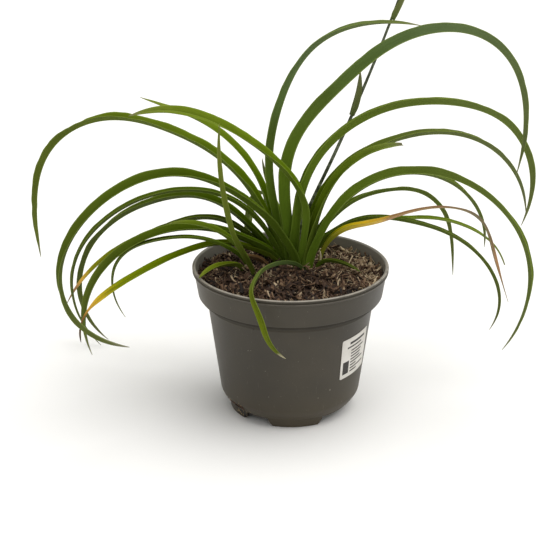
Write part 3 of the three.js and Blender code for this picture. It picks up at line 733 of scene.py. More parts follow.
half_height = (LABEL_HIGH - LABEL_LOW) / 2
label = bmesh.new()
label.loops.layers.uv.new("sheet")
bmesh.ops.create_grid(label, x_segments=72, y_segments=60, size=1, calc_uvs=True)
for vert in label.verts:
    flat = Vector((vert.co.x * LABEL_HALF_WIDTH, vert.co.y * half_height))
    inner = Vector((LABEL_HALF_WIDTH - LABEL_CORNER, half_height - LABEL_CORNER))
    beyond = Vector((max(abs(flat.x) - inner.x, 0), max(abs(flat.y) - inner.y, 0)))
    if beyond.x and beyond.y and beyond.length > LABEL_CORNER:
        beyond = beyond.normalized() * LABEL_CORNER
        corner = inner + beyond
        flat = Vector((math.copysign(corner.x, flat.x), math.copysign(corner.y, flat.y)))
    flat = Matrix.Rotation(LABEL_TILT, 2) @ flat
    height = (LABEL_LOW + LABEL_HIGH) / 2 + flat.y
    radius = wall_radius(height) + LABEL_STAND_OFF
    angle = math.radians(LABEL_TURN - 90) + flat.x / radius
    vert.co = (radius * math.cos(angle), radius * math.sin(angle), height)

# %% [markdown]
# The print is only ruled lines and plain bars. It reads the UV map: 0 to 1 across the sheet and up
# it. A row's number comes from rounding the height down, and a little noise on that number gives
# every ruled line a length of its own.

# %% Label finish
LABEL_ROWS = 13

paper = Finish("matt_label_paper")
sheet = paper.node("ShaderNodeUVMap", {}, uv_map="sheet").outputs[0]
uv = paper.node("ShaderNodeSeparateXYZ", {0: sheet}).outputs


def band(value, low, high):
    """1 where a value lies between two others"""
    return paper.times(paper.math("GREATER_THAN", value, low), paper.math("LESS_THAN", value, high))


def bar(left, right, low, high):
    """1 inside an upright rectangle of the sheet"""
    return paper.times(band(uv["Y"], low, high), band(uv["X"], left, right))


row = paper.times(uv["Y"], LABEL_ROWS)
row_number = paper.math("FLOOR", row)
row_end = paper.smooth(paper.noise(paper.combine(row_number, 3.7, 0), 0.83, 1), 0.3, 0.7, 0.55, 0.92)
ruled = paper.times(band(paper.math("FRACT", row), 0.3, 0.76), bar(0.32, row_end, 0.1, 0.68))
headings = paper.most(bar(0.26, 0.86, 0.83, 0.89), bar(0.18, 0.72, 0.74, 0.78))
panel = bar(0.07, 0.27, 0.1, 0.42)
ink = paper.most(paper.most(ruled, headings), panel)
place = paper.place()
worn = paper.smooth(paper.noise(place, 700, 4, 0.7), 0.28, 0.42, 0.76, 0.95)
aged = paper.ramp(paper.noise(place, 60, 3), [(0.35, (204, 200, 193)), (0.65, (219, 216, 210))])
label_paper = paper.surface(
    Base_Color=paper.mix(paper.times(ink, worn), aged, colour(22, 17, 13)), Specular_IOR_Level=0.2,
    Roughness=0.5, Normal=paper.bump(paper.noise(place, 900, 3), 0.3, 0.00008))

label_piece = show("wall_label", label, [label_paper], ["label"])
sheet_thickness = label_piece.modifiers.new("sheet_thickness", "SOLIDIFY")
sheet_thickness.thickness = LABEL_THICKNESS * MM
sheet_thickness.offset = 0

# %% [markdown]
# ## Leaves
# A daylily leaf is a long strap with a keel: its two halves stand up in a V that is nearly shut
# where the leaf leaves the crown and opens towards the tip. The solid model gives every leaf a course
# (bearing and slope along its length), and the same numbers stand here, so each finer leaf follows
# its solid. `half` is half the width, `arch` the slopes at even steps from foot to tip, `roll` and
# `twist` turn the leaf about itself, and `look` names its colours.

# %% Fans and the leaves' rows
FANS = {"right": (12, 12, 5), "centre": (-2, 24, -8), "left": (-15, 37, -10), "rear": (13, 36, 4),
        "far": (14, 51, 16)}
FAN_FIRST, FAN_PITCH = 3, 4
LEAF_START = 130


def in_fan(fan, rank, place, bearing, swing, length, half, arch, roll, twist=0, **look):
    """A leaf of a fan: rank -1 is left and +1 is right, place counts out from the fan's middle"""
    x, y, turn = FANS[fan]
    reach = rank * (FAN_FIRST + FAN_PITCH * place)
    root = (x + reach * math.cos(math.radians(turn)), y + reach * math.sin(math.radians(turn)))
    foot = turn if rank > 0 else turn + 180
    return dict(fan=fan, root=root, foot=foot, bearing=bearing, swing=swing, length=length, half=half,
                arch=arch, roll=roll, twist=twist, **look)


def alone(root, bearings, length, half, arch, roll=0, twist=0, **look):
    """A leaf that leaves the soil at a place of its own"""
    return dict(root=root, bearings=bearings, length=length, half=half, arch=arch, roll=roll,
                twist=twist, **look)


LEAVES = {
    "leaf_front_tall": in_fan("right", -1, 0, 213, -8, 300, 7.5,
        [98, 97, 57, 41, 32, 15, -11], -30, -15, look="bright", tone=0.93),
    "leaf_front_crossing": in_fan("right", -1, 1, 210, 0, 460, 8.5,
        [77, 47, 26, -14, -54, -117, -158], -20, 50, look="dark"),
    "leaf_blunt": in_fan("right", 1, 0, 26, 0, 185, 8.5,
        [82, 77, 56, 22, -4], 0, 20, tip=2.4, look="cut", dried=[1, 1, 0.95, 0.85, 0.78, 0.7]),
    "leaf_right_tucked": in_fan("rear", 1, 1, -2, 0, 275, 7,
        [89, 59, 40, 13, -20, -58, -91], 15, -35, look="green"),
    "leaf_right_long": in_fan("right", 1, 1.4, -40, -4, 440, 8,
        [85, 55, 28, 2, -35, -92, -123], -35, 5, look="green"),
    "leaf_left_high": in_fan("centre", -1, 0, 162, 4, 460, 9,
        [73, 58, 27, 6, -35, -80, -96], -3, 15, look="olive", wave=2.2),
    "leaf_left_slim": in_fan("centre", -1, 1.5, 182, 0, 380, 5.5,
        [79, 48, 6, -24, -53, -95, -131], 0, -15, look="dark"),
    "leaf_left_droop": in_fan("centre", -1, 2.2, 196, 0, 300, 8,
        [42, 28, 7, -18, -46, -80, -108], -15, look="dark"),
    "leaf_left_yellowing": in_fan("centre", -1, 3.2, 203, 0, 250, 6,
        [25, 21, -7, -17, -24, -41, -97], -15, -40, look="yellowing",
        dried=[1, 1, 1, 1, 1, 1, 1, 1, 0.95, 0.9, 0.82, 0.75, 0.68, 0.25, 0.3, 0.9]),
    "leaf_right_broad": in_fan("centre", 1, 0.5, -18, -4, 510, 12,
        [101, 91, 52, 40, 0, -73, -102], -20, look="cool"),
    "leaf_right_arch": in_fan("centre", 1, 1.5, 6, 4, 450, 11,
        [101, 79, 42, 8, -20, -70, -110], -15, 15, look="green"),
    "leaf_back_left_long": in_fan("left", -1, 0, 152, 0, 400, 8,
        [62, 31, -12, -30, -52, -91, -150], -10, look="dark", tone=0.92),
    "leaf_back_left_yellow_end": in_fan("left", -1, 2, 165, 0, 285, 6,
        [63, 33, -12, -27, -34, -48, -60], 0, -35, look="yellow_end"),
    "leaf_right_tall": in_fan("left", 1, 1.25, 6, 0, 345, 8.5,
        [99, 100, 81, 60, 14, -11], -30, 35, look="cool"),
    "leaf_back_right_arch": in_fan("rear", 1, 0, 24, 6, 400, 8,
        [96, 65, 24, 2, -22, -50, -81], -5, 15, look="grey"),
    "leaf_back_right_short": in_fan("far", 1, 0, 34, 0, 295, 5.5,
        [61, 41, 7, -11, -43, -77, -85], -20, 30, look="dark"),
    "leaf_right_pale": in_fan("far", 1, 1, 22, 0, 270, 4.5,
        [53, 23, -5, -6, -21, -38, -68], 5, tip=1.6, look="bright"),
    "leaf_right_low": in_fan("rear", 1, 2, -4, 0, 290, 5.5,
        [68, 38, -2, -17, -41, -74, -117], -10, -5, look="dark"),
    "leaf_small_right": alone((25, 16), [-24, -26], 61, 4,
        [40, 10, -10, -25], look="dark", tone=0.9),
    "leaf_over_lip": alone((14, 4), [206, 222, 254, 268, 340, 368], 197, 4.2,
        [39, 9, 1, -14, -73, -36], 40, 60, look="over_lip"),
    "leaf_dying": alone((28, 24), [-8, -14, -16], 284, 4.5,
        [88, 54, 15, 23, 13, -13, -69, -71, -70], 5, look="dying",
        dried=[1, 1.1, 1.3, 1.4, 1.35, 1.1, 0.8, 0.65, 0.55, 0.4, 0.7, 0.7, 1.1, 1.1, 0.5, 0.4]),
    "leaf_back_left_high": alone((-20, 52), [150, 140, 140], 270, 6.5,
        [98, 79, 43, 18, 5, 6], look="bright"),
    "leaf_side_upright": alone((-35, -7), [230, 236, 236], 185, 5.5,
        [52, 57, 71, 82, 99], -30, look="young", tone=0.9),
    "leaf_side_arch": alone((-37, 6), [200, 192, 190], 115, 5.5,
        [54, 59, 37, 15, -3], -15, look="bright", tone=0.92),
    "leaf_side_thin": alone((-41, 12), [190, 186, 188], 220, 4.2,
        [60, 29, 0, -23, -84, -121], look="green"),
    "leaf_side_short": alone((-46, 6), [233, 230, 229], 77, 4.6,
        [39, 19, 13, -4, -24], -10, look="young"),
    "leaf_back_stub": alone((-8, 49), [150, 130], 110, 3,
        [96, 83, 70, 63, 80], look="grey"),
    "leaf_back_drooping": alone((-4, 50), [112, 114], 200, 6.5,
        [78, 50, 8, -40, -74, -88], look="green"),
    "leaf_back_low": alone((14, 50), [90, 92], 170, 6,
        [76, 44, 5, -35, -66, -80], look="dark"),
    "dry_sheath_brown": alone((-21, 14), [160, 150], 44, 5,
        [22, 2, -3], tip=1.5, wave=4, look="sheath"),
    "dry_sheath_pale": alone((28.4, 18.6), [40, 30], 26, 2.4,
        [84, 78, 112], wave=3, look="straw"),
}

# %% [markdown]
# Three directions guide a leaf at each place: `along` its length, `up` out of its upper face, and
# `side` to its right. The course is walked in short steps, each in the direction of its middle. A
# leaf starts nearly upright and bends away within its neck. The bracts of the stalk use the same
# course, and they start `at` a place on the stalk with no neck.

# %% A leaf's course
STEP = 2.5
FOOT_SLOPE = 86
NECK = 15
SPREAD = 80
ROLL_SHARE = 0.4


def through(values, t):
    """Value at t (0 to 1) of a smooth curve through evenly spaced values"""
    x = min(max(t, 0), 1) * (len(values) - 1)
    i = min(int(x), len(values) - 2)
    f = x - i
    a, b = values[i], values[i + 1]
    before = values[max(i - 1, 0)]
    after = values[min(i + 2, len(values) - 1)]
    return 0.5 * (2 * a + (b - before) * f + (2 * before - 5 * a + 4 * b - after) * f * f
                  + (3 * a - before - 3 * b + after) * f ** 3)


def directions(slope, bearing, roll):
    slope, bearing = math.radians(slope), math.radians(bearing)
    east, north = math.cos(bearing), math.sin(bearing)
    along = Vector((math.cos(slope) * east, math.cos(slope) * north, math.sin(slope)))
    up = Vector((-math.sin(slope) * east, -math.sin(slope) * north, math.cos(slope)))
    turn = Matrix.Rotation(math.radians(roll), 3, along)
    return along, turn @ up, turn @ along.cross(up)


def slope_at(row, distance):
    slope = through(row["arch"], distance / row["length"])
    if "at" in row:
        return slope
    return slope + (FOOT_SLOPE - slope) * math.exp(-(distance / NECK) ** 2)


def bearing_at(row, distance):
    share = distance / row["length"]
    if "bearings" in row:
        return through(row["bearings"], share)
    turned = (row["bearing"] - row["foot"]) * smoothstep(distance / SPREAD)
    return row["foot"] + turned + row["swing"] * share


def course(row, start):
    """Rings along a leaf: share of its length, distance, centre and the three directions"""
    rings = max(8, round(row["length"] / STEP))
    step = row["length"] / rings
    centre = Vector(start)
    found = []
    for ring in range(rings + 1):
        distance = ring * step
        share = ring / rings
        rolled = 1 if "at" in row else smoothstep(share / ROLL_SHARE)
        twisted = smoothstep((share - ROLL_SHARE) / (1 - ROLL_SHARE))
        roll = row["roll"] * rolled + row["twist"] * twisted
        guides = directions(slope_at(row, distance), bearing_at(row, distance), roll)
        found.append((share, distance, centre.copy(), *guides))
        middle = distance + step / 2
        centre += directions(slope_at(row, middle), bearing_at(row, middle), 0)[0] * step
    return found


# %% [markdown]
# The section of a leaf is a V whose halves curve a little: steep beside the keel and flatter towards
# the edge. Columns stand closer together at the keel, so it stays a crisp line. The V is nearly shut
# at the foot. The leaves of a fan sheathe each other at the soil, so the foot of each is broad. Where
# an old leaf has dried it has also shrivelled, so `dried` gives shares of its width by length.

# %% A leaf's section
HALF_COLUMNS = 6
COLUMN_CROWDING = 1.25
WING_CURVE = 16
SHARP_TIP = 0.22
FOOT_WIDTH, WIDE_FROM = 0.75, 0.22
SHEATH_WIDTH, SHEATH_LOSS, SHEATH_LENGTH = 1.08, 0.3, 90
TIP_POWER, BRACT_TIP_POWER = 8, 3
FOLD_MIDDLE, FOLD_OPENS, FOLD_AT_FOOT, FOLD_LENGTH = 44, 18, 28, 70
BRACT_FOLD = 50


def half_width(row, share):
    tip = row.get("tip", SHARP_TIP)
    opening = FOOT_WIDTH + (1 - FOOT_WIDTH) * smoothstep(share / WIDE_FROM)
    if "fan" in row:
        sheath = SHEATH_WIDTH - SHEATH_LOSS * smoothstep(share * row["length"] / SHEATH_LENGTH)
        opening = max(opening, sheath)
    power = BRACT_TIP_POWER if "at" in row else TIP_POWER
    dried = through(row.get("dried", (1, 1)), share)
    return tip + (row["half"] * opening - tip) * dried * (1 - share ** power)


def fold(row, distance, share):
    """Degrees by which each half of the V stands up"""
    if "at" in row:
        return BRACT_FOLD
    shut = FOLD_AT_FOOT * math.exp(-(distance / FOLD_LENGTH) ** 2)
    return FOLD_MIDDLE - FOLD_OPENS * share ** 2 + shut


def section(width, angle):
    """Places across one half of a leaf, from the keel to the edge, as (sideways, upwards, share)"""
    places = [(0, 0, 0)]
    for column in range(1, HALF_COLUMNS + 1):
        share = (column / HALF_COLUMNS) ** COLUMN_CROWDING
        step = (share - places[-1][2]) * width
        local = math.radians(angle + WING_CURVE * (0.5 - (share + places[-1][2]) / 2))
        out, above = places[-1][:2]
        places.append((out + step * math.cos(local), above + step * math.sin(local), share))
    return places


# %% [markdown]
# A grid is the leaf before bending: one side is its length, the other its width. Every point is
# carried on to the section at its place on the course. Slow noise along the leaf makes the edges wave
# by about a millimetre, as on a real leaf. At the crown the leaves of a fan lean in towards its middle
# and close up, by a few millimetres more than their solids do. Each point also stores where it is on
# the leaf, because the finish follows the leaf and not the room.

# %% A leaf's blade
BLADE_THICKNESS = 0.6
THIN_EDGE = 0.55
GATHERED = 0.45
GATHERED_TO = 62
WIDTH_VARIES = 0.05
FLUTTER, RIPPLE = 0.8, 0.3


def blade(row, start, seed):
    """The bent, keeled grid of one leaf"""
    rings = course(row, start)
    middle = Vector()
    if "fan" in row:
        middle = Vector((*FANS[row["fan"]][:2], 0)) - Vector((*row["root"], 0))
    shape = bmesh.new()
    layers = {key: shape.verts.layers.float.new(key) for key in ("share", "across", "reach", "sideways")}
    bmesh.ops.create_grid(shape, x_segments=len(rings) - 1, y_segments=2 * HALF_COLUMNS, size=1)
    sections = []
    for share, distance, *_ in rings:
        varied = 1 + WIDTH_VARIES * noise.noise(Vector((distance * 0.02, seed, 0)))
        width = half_width(row, share) * varied
        sections.append((width, section(width, fold(row, distance, share))))
    for vert in shape.verts:
        ring = round((vert.co.x + 1) / 2 * (len(rings) - 1))
        column = -round(vert.co.y * HALF_COLUMNS)
        share, distance, centre, _, up, side = rings[ring]
        width, places = sections[ring]
        sideways, upwards, across = places[abs(column)]
        hand = 1 if column > 0 else -1
        wave = row.get("wave", 1) * min(width / 6, 1) * smoothstep(distance / 40) * across ** 2
        flutter = noise.noise(Vector((distance * 0.035, seed * 3.1 + hand, 5)))
        ripple = noise.noise(Vector((distance * 0.11, seed * 1.7 + hand, 9)))
        upwards += wave * (FLUTTER * flutter + RIPPLE * ripple) - places[-1][1] / 2
        gathered = middle * (GATHERED * (1 - smoothstep(distance / GATHERED_TO)))
        vert.co = centre + gathered + side * (hand * sideways) + up * upwards
        for key, value in zip(layers, (share, hand * across, distance, hand * across * width)):
            vert[layers[key]] = value
    return shape

# %% [markdown]
# ## Leaf finishes
# One recipe makes every leaf colour. A ramp along the leaf's length gives the crown, painted darker
# as shade among the leaf bases, the green of the blade and the dry point, and old leaves only have
# other colours in that ramp. The "dark" look is the same green painted darker, as shade, for leaves
# that lie in the shade of others.

# %% Leaf colours
# Colours from foot to tip, as (share of the length, colour)
LOOKS = {
    "green": [(0, (76, 102, 0)), (0.12, (82, 108, 0)), (0.25, (86, 110, 2)), (0.45, (83, 101, 18)),
              (0.65, (88, 104, 34)), (0.85, (91, 105, 40)), (0.95, (99, 109, 50)), (1, (124, 122, 98))],
    "cool": [(0, (76, 104, 0)), (0.12, (84, 112, 0)), (0.22, (86, 112, 4)), (0.36, (77, 98, 24)),
             (0.5, (79, 103, 42)), (0.65, (89, 109, 62)), (0.8, (94, 110, 58)), (0.95, (99, 110, 54)),
             (1, (124, 122, 98))],
    # The "dark" look is painted shade: the same green, darker, for leaves that lie in shade
    "dark": [(0, (70, 94, 0)), (0.15, (74, 96, 0)), (0.4, (71, 88, 8)), (0.7, (78, 92, 26)),
             (0.93, (88, 98, 40)), (0.98, (114, 112, 84)), (1, (130, 124, 104))],
    "olive": [(0, (74, 98, 0)), (0.2, (78, 99, 2)), (0.45, (84, 101, 14)), (0.8, (88, 102, 20)),
              (0.95, (98, 109, 36)), (1, (124, 120, 96))],
    "bright": [(0, (80, 106, 0)), (0.15, (83, 109, 0)), (0.5, (95, 116, 16)), (0.85, (104, 121, 30)),
               (0.96, (112, 123, 50)), (1, (130, 126, 96))],
    "grey": [(0, (78, 102, 0)), (0.2, (88, 108, 6)), (0.5, (86, 99, 36)), (0.9, (96, 106, 56)),
             (0.98, (120, 118, 88)), (1, (136, 130, 108))],
    "young": [(0, (66, 80, 8)), (0.3, (92, 108, 16)), (0.7, (108, 122, 24)), (1, (118, 128, 44))],
    "over_lip": [(0, (60, 80, 24)), (0.25, (84, 106, 48)), (0.45, (88, 104, 40)), (0.6, (94, 106, 26)),
                 (0.8, (100, 113, 22)), (0.95, (92, 102, 34)), (0.975, (160, 152, 124)),
                 (1, (172, 164, 140))],
    "cut": [(0, (64, 84, 0)), (0.3, (72, 90, 4)), (0.5, (84, 104, 14)), (0.7, (98, 117, 26)),
            (0.9, (110, 125, 48)), (0.965, (114, 126, 66)), (0.985, (120, 120, 86)),
            (1, (110, 108, 84))],
    "yellow_end": [(0, (58, 76, 0)), (0.4, (64, 78, 6)), (0.6, (76, 88, 12)), (0.72, (108, 118, 20)),
                   (0.82, (140, 138, 20)), (0.88, (214, 170, 70)), (0.93, (160, 120, 84)),
                   (1, (132, 120, 108))],
    "yellowing": [(0, (82, 98, 0)), (0.4, (104, 122, 4)), (0.6, (112, 130, 6)), (0.7, (130, 140, 10)),
                  (0.78, (200, 176, 44)), (0.84, (216, 168, 72)), (0.88, (150, 100, 56)),
                  (0.93, (90, 62, 40)), (1, (59, 35, 16))],
    "dying": [(0, (98, 104, 2)), (0.13, (132, 134, 4)), (0.19, (198, 182, 12)), (0.27, (236, 198, 44)),
              (0.345, (218, 176, 76)), (0.375, (172, 128, 88)), (0.55, (150, 116, 92)),
              (0.68, (112, 100, 84)), (0.76, (124, 104, 80)), (0.85, (166, 126, 94)),
              (0.93, (130, 98, 78)), (1, (128, 110, 100))],
    "sheath": [(0, (74, 50, 28)), (0.5, (98, 70, 42)), (0.85, (134, 106, 70)), (1, (206, 190, 156))],
    "straw": [(0, (140, 120, 78)), (0.5, (184, 168, 124)), (1, (206, 192, 158))],
    "bract": [(0, (78, 90, 40)), (0.5, (92, 100, 50)), (0.85, (100, 104, 60)), (1, (108, 94, 62))],
}
DRY = ("sheath", "straw")

# %% [markdown]
# Fine streaks and grooves run with the veins, because their noise is stretched along the leaf. The
# keel and the edges are painted paler as highlights, and one half of the V is painted a little
# lighter than the other, as light and shade. The underside is a second material, greyer and duller
# than the upper side.

# %% Leaf finish
VEIN_STEP = 0.95
GREEN_HIGHLIGHT = (154, 172, 84)
DRY_HIGHLIGHT = (186, 172, 130)


def leaf_finish(name, stops, dull=0.0, dry=False):
    """One side of a leaf. dull turns its colour greyer and its shine lower."""
    leaf = Finish(name)
    share, across, reach, sideways, tone = [
        leaf.attribute(key) for key in ("share", "across", "reach", "sideways", "tone")]
    own = leaf.times(tone, 41)
    streaks = leaf.noise(leaf.combine(leaf.times(sideways, 1.15), leaf.times(reach, 0.03), own), 1, 4, 0.65)
    patches = leaf.noise(leaf.combine(leaf.times(sideways, 0.12), leaf.times(reach, 0.028), own), 1, 3)
    streaked, patched = leaf.math("SUBTRACT", streaks, 0.5), leaf.math("SUBTRACT", patches, 0.5)
    wander = leaf.math("MULTIPLY_ADD", streaked, 0.10, share)
    wander = leaf.math("MULTIPLY_ADD", patched, 0.10, wander)
    # Painted highlights: pale lines along the keel and the edges, weaker near the foot
    away = leaf.math("ABSOLUTE", across)
    keel_and_edge_highlights = leaf.most(leaf.smooth(away, 0.02, 0.11, 0.5, 0), leaf.smooth(away, 0.86, 1, 0, 0.3))
    keel_and_edge_highlights = leaf.times(keel_and_edge_highlights, leaf.smooth(reach, 15, 110, 0.35, 1))
    pale = leaf.mix(keel_and_edge_highlights, leaf.ramp(wander, stops), colour(*(DRY_HIGHLIGHT if dry else GREEN_HIGHLIGHT)))
    value = leaf.math("MULTIPLY_ADD", streaked, 0.5, tone)
    value = leaf.math("MULTIPLY_ADD", patched, 0.45, value)
    # Painted light and shade: one half of the V lighter, the other darker
    value = leaf.math("ADD", value, leaf.smooth(across, -0.12, 0.12, -0.06, 0.07))
    inputs = {"Color": pale, "Value": value, "Saturation": 1 - 0.06 * dull}
    toned = leaf.node("ShaderNodeHueSaturation", inputs).outputs["Color"]
    veins = leaf.math("SINE", leaf.times(sideways, 2 * math.pi / VEIN_STEP))
    rougher = 0.15 * dull + 0.2 * dry
    return leaf.surface(
        Base_Color=toned, Specular_IOR_Level=0.03,
        Roughness=leaf.smooth(patches, 0.3, 0.7, 0.42 + rougher, 0.52 + rougher),
        Normal=leaf.bump(leaf.math("MULTIPLY_ADD", streaks, 1.5, veins), 0.6, 0.00004))


def greyer(rgb):
    """Colour of a leaf's underside: very slightly greyer"""
    middle = sum(rgb) / 3
    return tuple(0.93 * channel + 0.07 * middle + 3 for channel in rgb)


LEAF_FINISHES = {}
for look, stops in LOOKS.items():
    upper = leaf_finish(look + "_upper_side", stops, dry=look in DRY)
    under = [(place, greyer(rgb)) for place, rgb in stops]
    LEAF_FINISHES[look] = (upper, leaf_finish(look + "_underside", under, dull=1.0, dry=look in DRY))
print(len(LEAF_FINISHES), "leaf finishes")

# %% [markdown]
# Now every leaf is made, given its two finishes, and thickened. The thickness is a modifier that
# reads a vertex group, so a blade is thickest at its keel and thin at its edges, and the modifier
# gives the generated side the second material.

# %% Leaves


def leaf_piece(name, row, start, seed):
    """A finished leaf that stands for the solid leaf of the same name"""
    shape = blade(row, start, seed)
    tone_layer = shape.verts.layers.float.new("tone")
    tone = row.get("tone", 1) + 0.05 * math.sin(seed * 2.4)
    for vert in shape.verts:
        vert[tone_layer] = tone
    look = row["look"]
    piece = show(name + "_blade", shape, LEAF_FINISHES[look], [name])
    body = piece.vertex_groups.new(name="body")
    across = piece.data.attributes["across"].data
    for vertex in piece.data.vertices:
        body.add([vertex.index], 1 - across[vertex.index].value ** 2, "REPLACE")
    thickness = piece.modifiers.new("thickness", "SOLIDIFY")
    thickness.thickness = BLADE_THICKNESS * MM
    thickness.offset = 0
    thickness.vertex_group = "body"
    thickness.thickness_vertex_group = THIN_EDGE
    thickness.material_offset = 1
    return piece


def strayed(name, piece):
    """How far, in millimetres, a finer piece's box is from its solid's box"""
    low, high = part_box(name)
    points = [vertex.co for vertex in piece.data.vertices]
    differences = []
    for axis in range(3):
        found = [point[axis] for point in points]
        differences += [abs(min(found) - low[axis]), abs(max(found) - high[axis])]
    return max(differences) / MM


worst = []
for seed, (name, row) in enumerate(LEAVES.items(), start=1):
    piece = leaf_piece(name, row, (*row["root"], LEAF_START), seed)
    worst.append((round(strayed(name, piece), 2), name))
print("leaves whose box differs most, mm:", sorted(worst)[-5:])

# %% [markdown]
# ## The flower stalk
# The stalk is a thin round stem. A sweep starts from a small circle with a face, extrudes that face
# ring by ring, and sets every new ring on the stalk's course. Each point remembers its own angle on
# the circle, and an extruded copy keeps it, so a ring never twists.

# %% Stalk
STALK_BEARING = 26
STALK = dict(length=306, arch=[75, 62, 64, 66, 69])
STALK_START = Vector((2, 46, LEAF_START))
STALK_RINGS = 85
STALK_SIDES = 16
STALK_FOOT_RADIUS, STALK_TAPER = 2.1, 0.9


def sweep(shape, rings, sides):
    """A closed stem through rings of (centre, side, up, radius at an angle)"""
    angle_layer = shape.verts.layers.float.get("angle") or shape.verts.layers.float.new("angle")
    share_layer = shape.verts.layers.float.get("share") or shape.verts.layers.float.new("share")
    first = bmesh.ops.create_circle(shape, cap_ends=True, segments=sides, radius=1)["verts"]
    for vert in first:
        vert[angle_layer] = math.atan2(vert.co.y, vert.co.x)
    face = first[0].link_faces[0]
    ring = first
    for number, (centre, side, up, radius) in enumerate(rings):
        if number:
            made = bmesh.ops.extrude_face_region(shape, geom=[face])["geom"]
            ring = [g for g in made if isinstance(g, bmesh.types.BMVert)]
            face = next(g for g in made if isinstance(g, bmesh.types.BMFace))
        for vert in ring:
            angle = vert[angle_layer]
            vert.co = centre + (side * math.cos(angle) + up * math.sin(angle)) * radius(angle)
            vert[share_layer] = number / (len(rings) - 1)


def stalk_ring(distance):
    """Centre and directions on the stalk at a distance from its foot"""
    steps = max(1, round(distance / 3))
    centre = STALK_START.copy()
    for k in range(steps):
        slope = slope_at(STALK, (k + 0.5) * distance / steps)
        centre += directions(slope, STALK_BEARING, 0)[0] * distance / steps
    return centre, *directions(slope_at(STALK, distance), STALK_BEARING, 0)


stalk = bmesh.new()
stalk_rings = []
for number in range(STALK_RINGS + 1):
    distance = STALK["length"] * number / STALK_RINGS
    centre, _, up, side = stalk_ring(distance)
    uneven = 0.08 * noise.noise(Vector((distance * 0.06, 2, 1)))
    thick = STALK_FOOT_RADIUS - STALK_TAPER * number / STALK_RINGS + uneven
    stalk_rings.append((centre, side, up, lambda angle, t=thick: t * (1 + 0.03 * math.cos(3 * angle))))
sweep(stalk, stalk_rings, STALK_SIDES)
bmesh.ops.recalc_face_normals(stalk, faces=stalk.faces)

# %% [markdown]
# A daylily's stalk is darker and greyer than its leaves, with a thin bloom of wax that comes off in
# patches, and fine ribs along its length.

# %% Stalk finish


def stem_finish(name, low, high, tip, ribs):
    """Round stem or bud: colour along its length, ribs round it, waxy patches"""
    stem = Finish(name)
    place = stem.place()
    share, angle = stem.attribute("share"), stem.attribute("angle")
    wax = stem.noise(place, 160, 4, 0.6)
    length_colour = stem.ramp(share, [(0, low), (0.8, high), (1, tip)])
    bloom = stem.smooth(wax, 0.45, 0.68, 0, 0.35)
    waves = stem.math("SINE", stem.times(angle, ribs))
    fine = stem.noise(place, 1200, 3)
    return stem.surface(
        Base_Color=stem.mix(bloom, length_colour, colour(128, 136, 112)),
        Roughness=stem.smooth(wax, 0.35, 0.7, 0.42, 0.6),
        Normal=stem.bump(stem.math("ADD", waves, fine), 0.6, 0.00006))


stalk_green = stem_finish("waxy_stalk_green", (62, 72, 36), (66, 74, 50), (78, 88, 56), 12)
show("stalk_stem", stalk, [stalk_green], ["flower_stalk"])
print("stalk top", [round(c) for c in stalk_rings[-1][0]])

# %% [markdown]
# ## Bracts and buds
# A bract is a short leaf that clasps the stalk, so it uses the same blade. A bud is a spindle on a
# thin pedicel: three outer petals wrap it, which gives its section three soft lobes. The numbers for
# where each one leaves the stalk are those of the solid model.

# %% Bracts and buds
BRACTS = {
    "bract_lower": dict(at=163, side=250, apart=2.8, bearings=[26, 26], length=46, half=5.4,
                        arch=[66, 74, 84, 90], roll=-136, twist=0, look="bract"),
    "bract_upper": dict(at=263, side=-40, apart=2.4, bearings=[26, 20], length=32, half=6,
                        arch=[64, 60, 62, 72], roll=-66, twist=0, look="bract"),
}
# Buds as (place on the stalk, distance from its middle, bearing, slope, length, radius)
BUDS = {"bud_right": (287, 2.5, 66, 68, 25, 3), "bud_left": (292, 2.5, 200, 84, 20, 2.4),
        "bud_top": (306.5, 0, 26, 72, 27, 3.4)}
# A bud's outline as (share of its length, radius), for a bud of the outline's own radius
BUD_OUTLINE = [(0, 0.8), (0.16, 0.8), (0.32, 2.1), (0.55, 3), (0.74, 2.6), (0.92, 1.35), (0.99, 0.2)]
OUTLINE_RADIUS = 3
BUD_RINGS = 28
BUD_SIDES = 18
PEDICEL_TO, LOBES_FROM, LOBES = 0.2, 0.3, 0.06


def beside_stalk(at, side, apart):
    return stalk_ring(at)[0] + directions(0, side, 0)[0] * apart


for seed, (name, row) in enumerate(BRACTS.items(), start=60):
    piece = leaf_piece(name, row, beside_stalk(row["at"], row["side"], row["apart"]), seed)
    print(name, "box differs by", round(strayed(name, piece), 2), "mm")

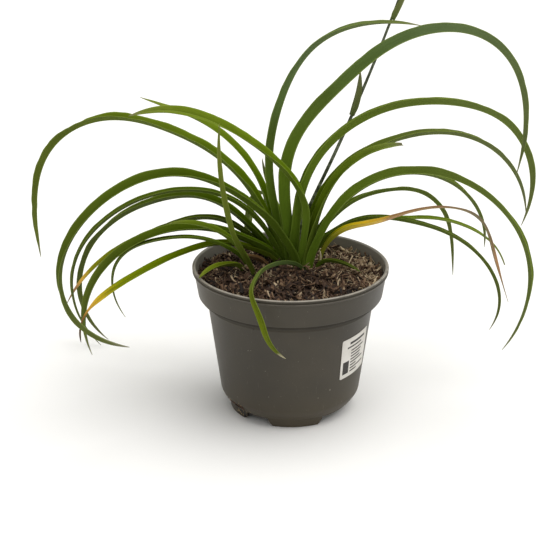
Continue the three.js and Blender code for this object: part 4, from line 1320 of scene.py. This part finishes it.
bud_green = stem_finish("bud_green", (84, 94, 56), (118, 126, 84), (126, 116, 78), 18)
for name, (at, apart, side, slope, length, radius) in BUDS.items():
    base = beside_stalk(at, side, apart)
    along, up, right = directions(slope, side, 0)
    bud = bmesh.new()
    bud_rings = []
    for number in range(BUD_RINGS + 1):
        share = number / BUD_RINGS * BUD_OUTLINE[-1][0]
        spans = zip(BUD_OUTLINE, BUD_OUTLINE[1:])
        (a, wide_a), (b, wide_b) = next(pair for pair in spans if share <= pair[1][0] + 1e-6)
        wide = wide_a + (wide_b - wide_a) * smoothstep((share - a) / (b - a))
        if share >= PEDICEL_TO:
            wide *= radius / OUTLINE_RADIUS
        lobes = LOBES if share > LOBES_FROM else 0
        bud_rings.append((base + along * share * length, right, up,
                          lambda angle, wide=wide, lobes=lobes: wide * (1 + lobes * math.cos(3 * angle))))
    sweep(bud, bud_rings, BUD_SIDES)
    bmesh.ops.recalc_face_normals(bud, faces=bud.faces)
    piece = show(name + "_closed", bud, [bud_green], [name])
    print(name, "box differs by", round(strayed(name, piece), 2), "mm")

# %% [markdown]
# ## Rootlets
# A few pale, dry rootlets lie on the soil in front of the crown and right of it. Each is a thin stem
# swept through a short wandering line that keeps just above the lumps.

# %% Rootlets
# Rootlets as (start, bearing, length, radius)
ROOTLETS = [((36, -2), -22, 34, 0.55), ((46, -8), -38, 22, 0.4), ((30, 6), 10, 14, 0.6),
            ((22, -6), -70, 18, 0.4), ((-30, -34), 200, 26, 0.4), ((8, -48), 20, 22, 0.35),
            ((52, -26), 60, 24, 0.35), ((58, 8), -30, 26, 0.4)]
ROOTLET_STEPS = 11
ROOTLET_LIFT = 1.1
ROOTLET_TAPER = 0.7

rootlets = bmesh.new()
draw = random.Random(21)
for (x, y), heading, length, thick in ROOTLETS:
    rings = []
    for number in range(ROOTLET_STEPS + 1):
        share = number / ROOTLET_STEPS
        along, up, side = directions(0, heading, 0)
        here = Vector((x, y, soil_top(x, y) + ROOTLET_LIFT + thick))
        rings.append((here, side, up, lambda angle, t=thick * (1 - ROOTLET_TAPER * share): t))
        x, y = x + along.x * length / ROOTLET_STEPS, y + along.y * length / ROOTLET_STEPS
        heading += draw.gauss(0, 14)
    sweep(rootlets, rings, 6)
bmesh.ops.recalc_face_normals(rootlets, faces=rootlets.faces)
root_pale = stem_finish("dry_rootlet", (168, 150, 116), (180, 164, 132), (150, 128, 96), 5)
show("pale_rootlets", rootlets, [root_pale])

# %% [markdown]
# ## Measure and finish
# The finer pieces must keep to the solid model's size, so the difference between the two boxes' sizes
# is printed.

# %% Sizes
shown_low, shown_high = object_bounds()
grown = (shown_high - shown_low) - (solid_high - solid_low)
print("size difference mm:", [round(side / MM, 1) for side in grown])
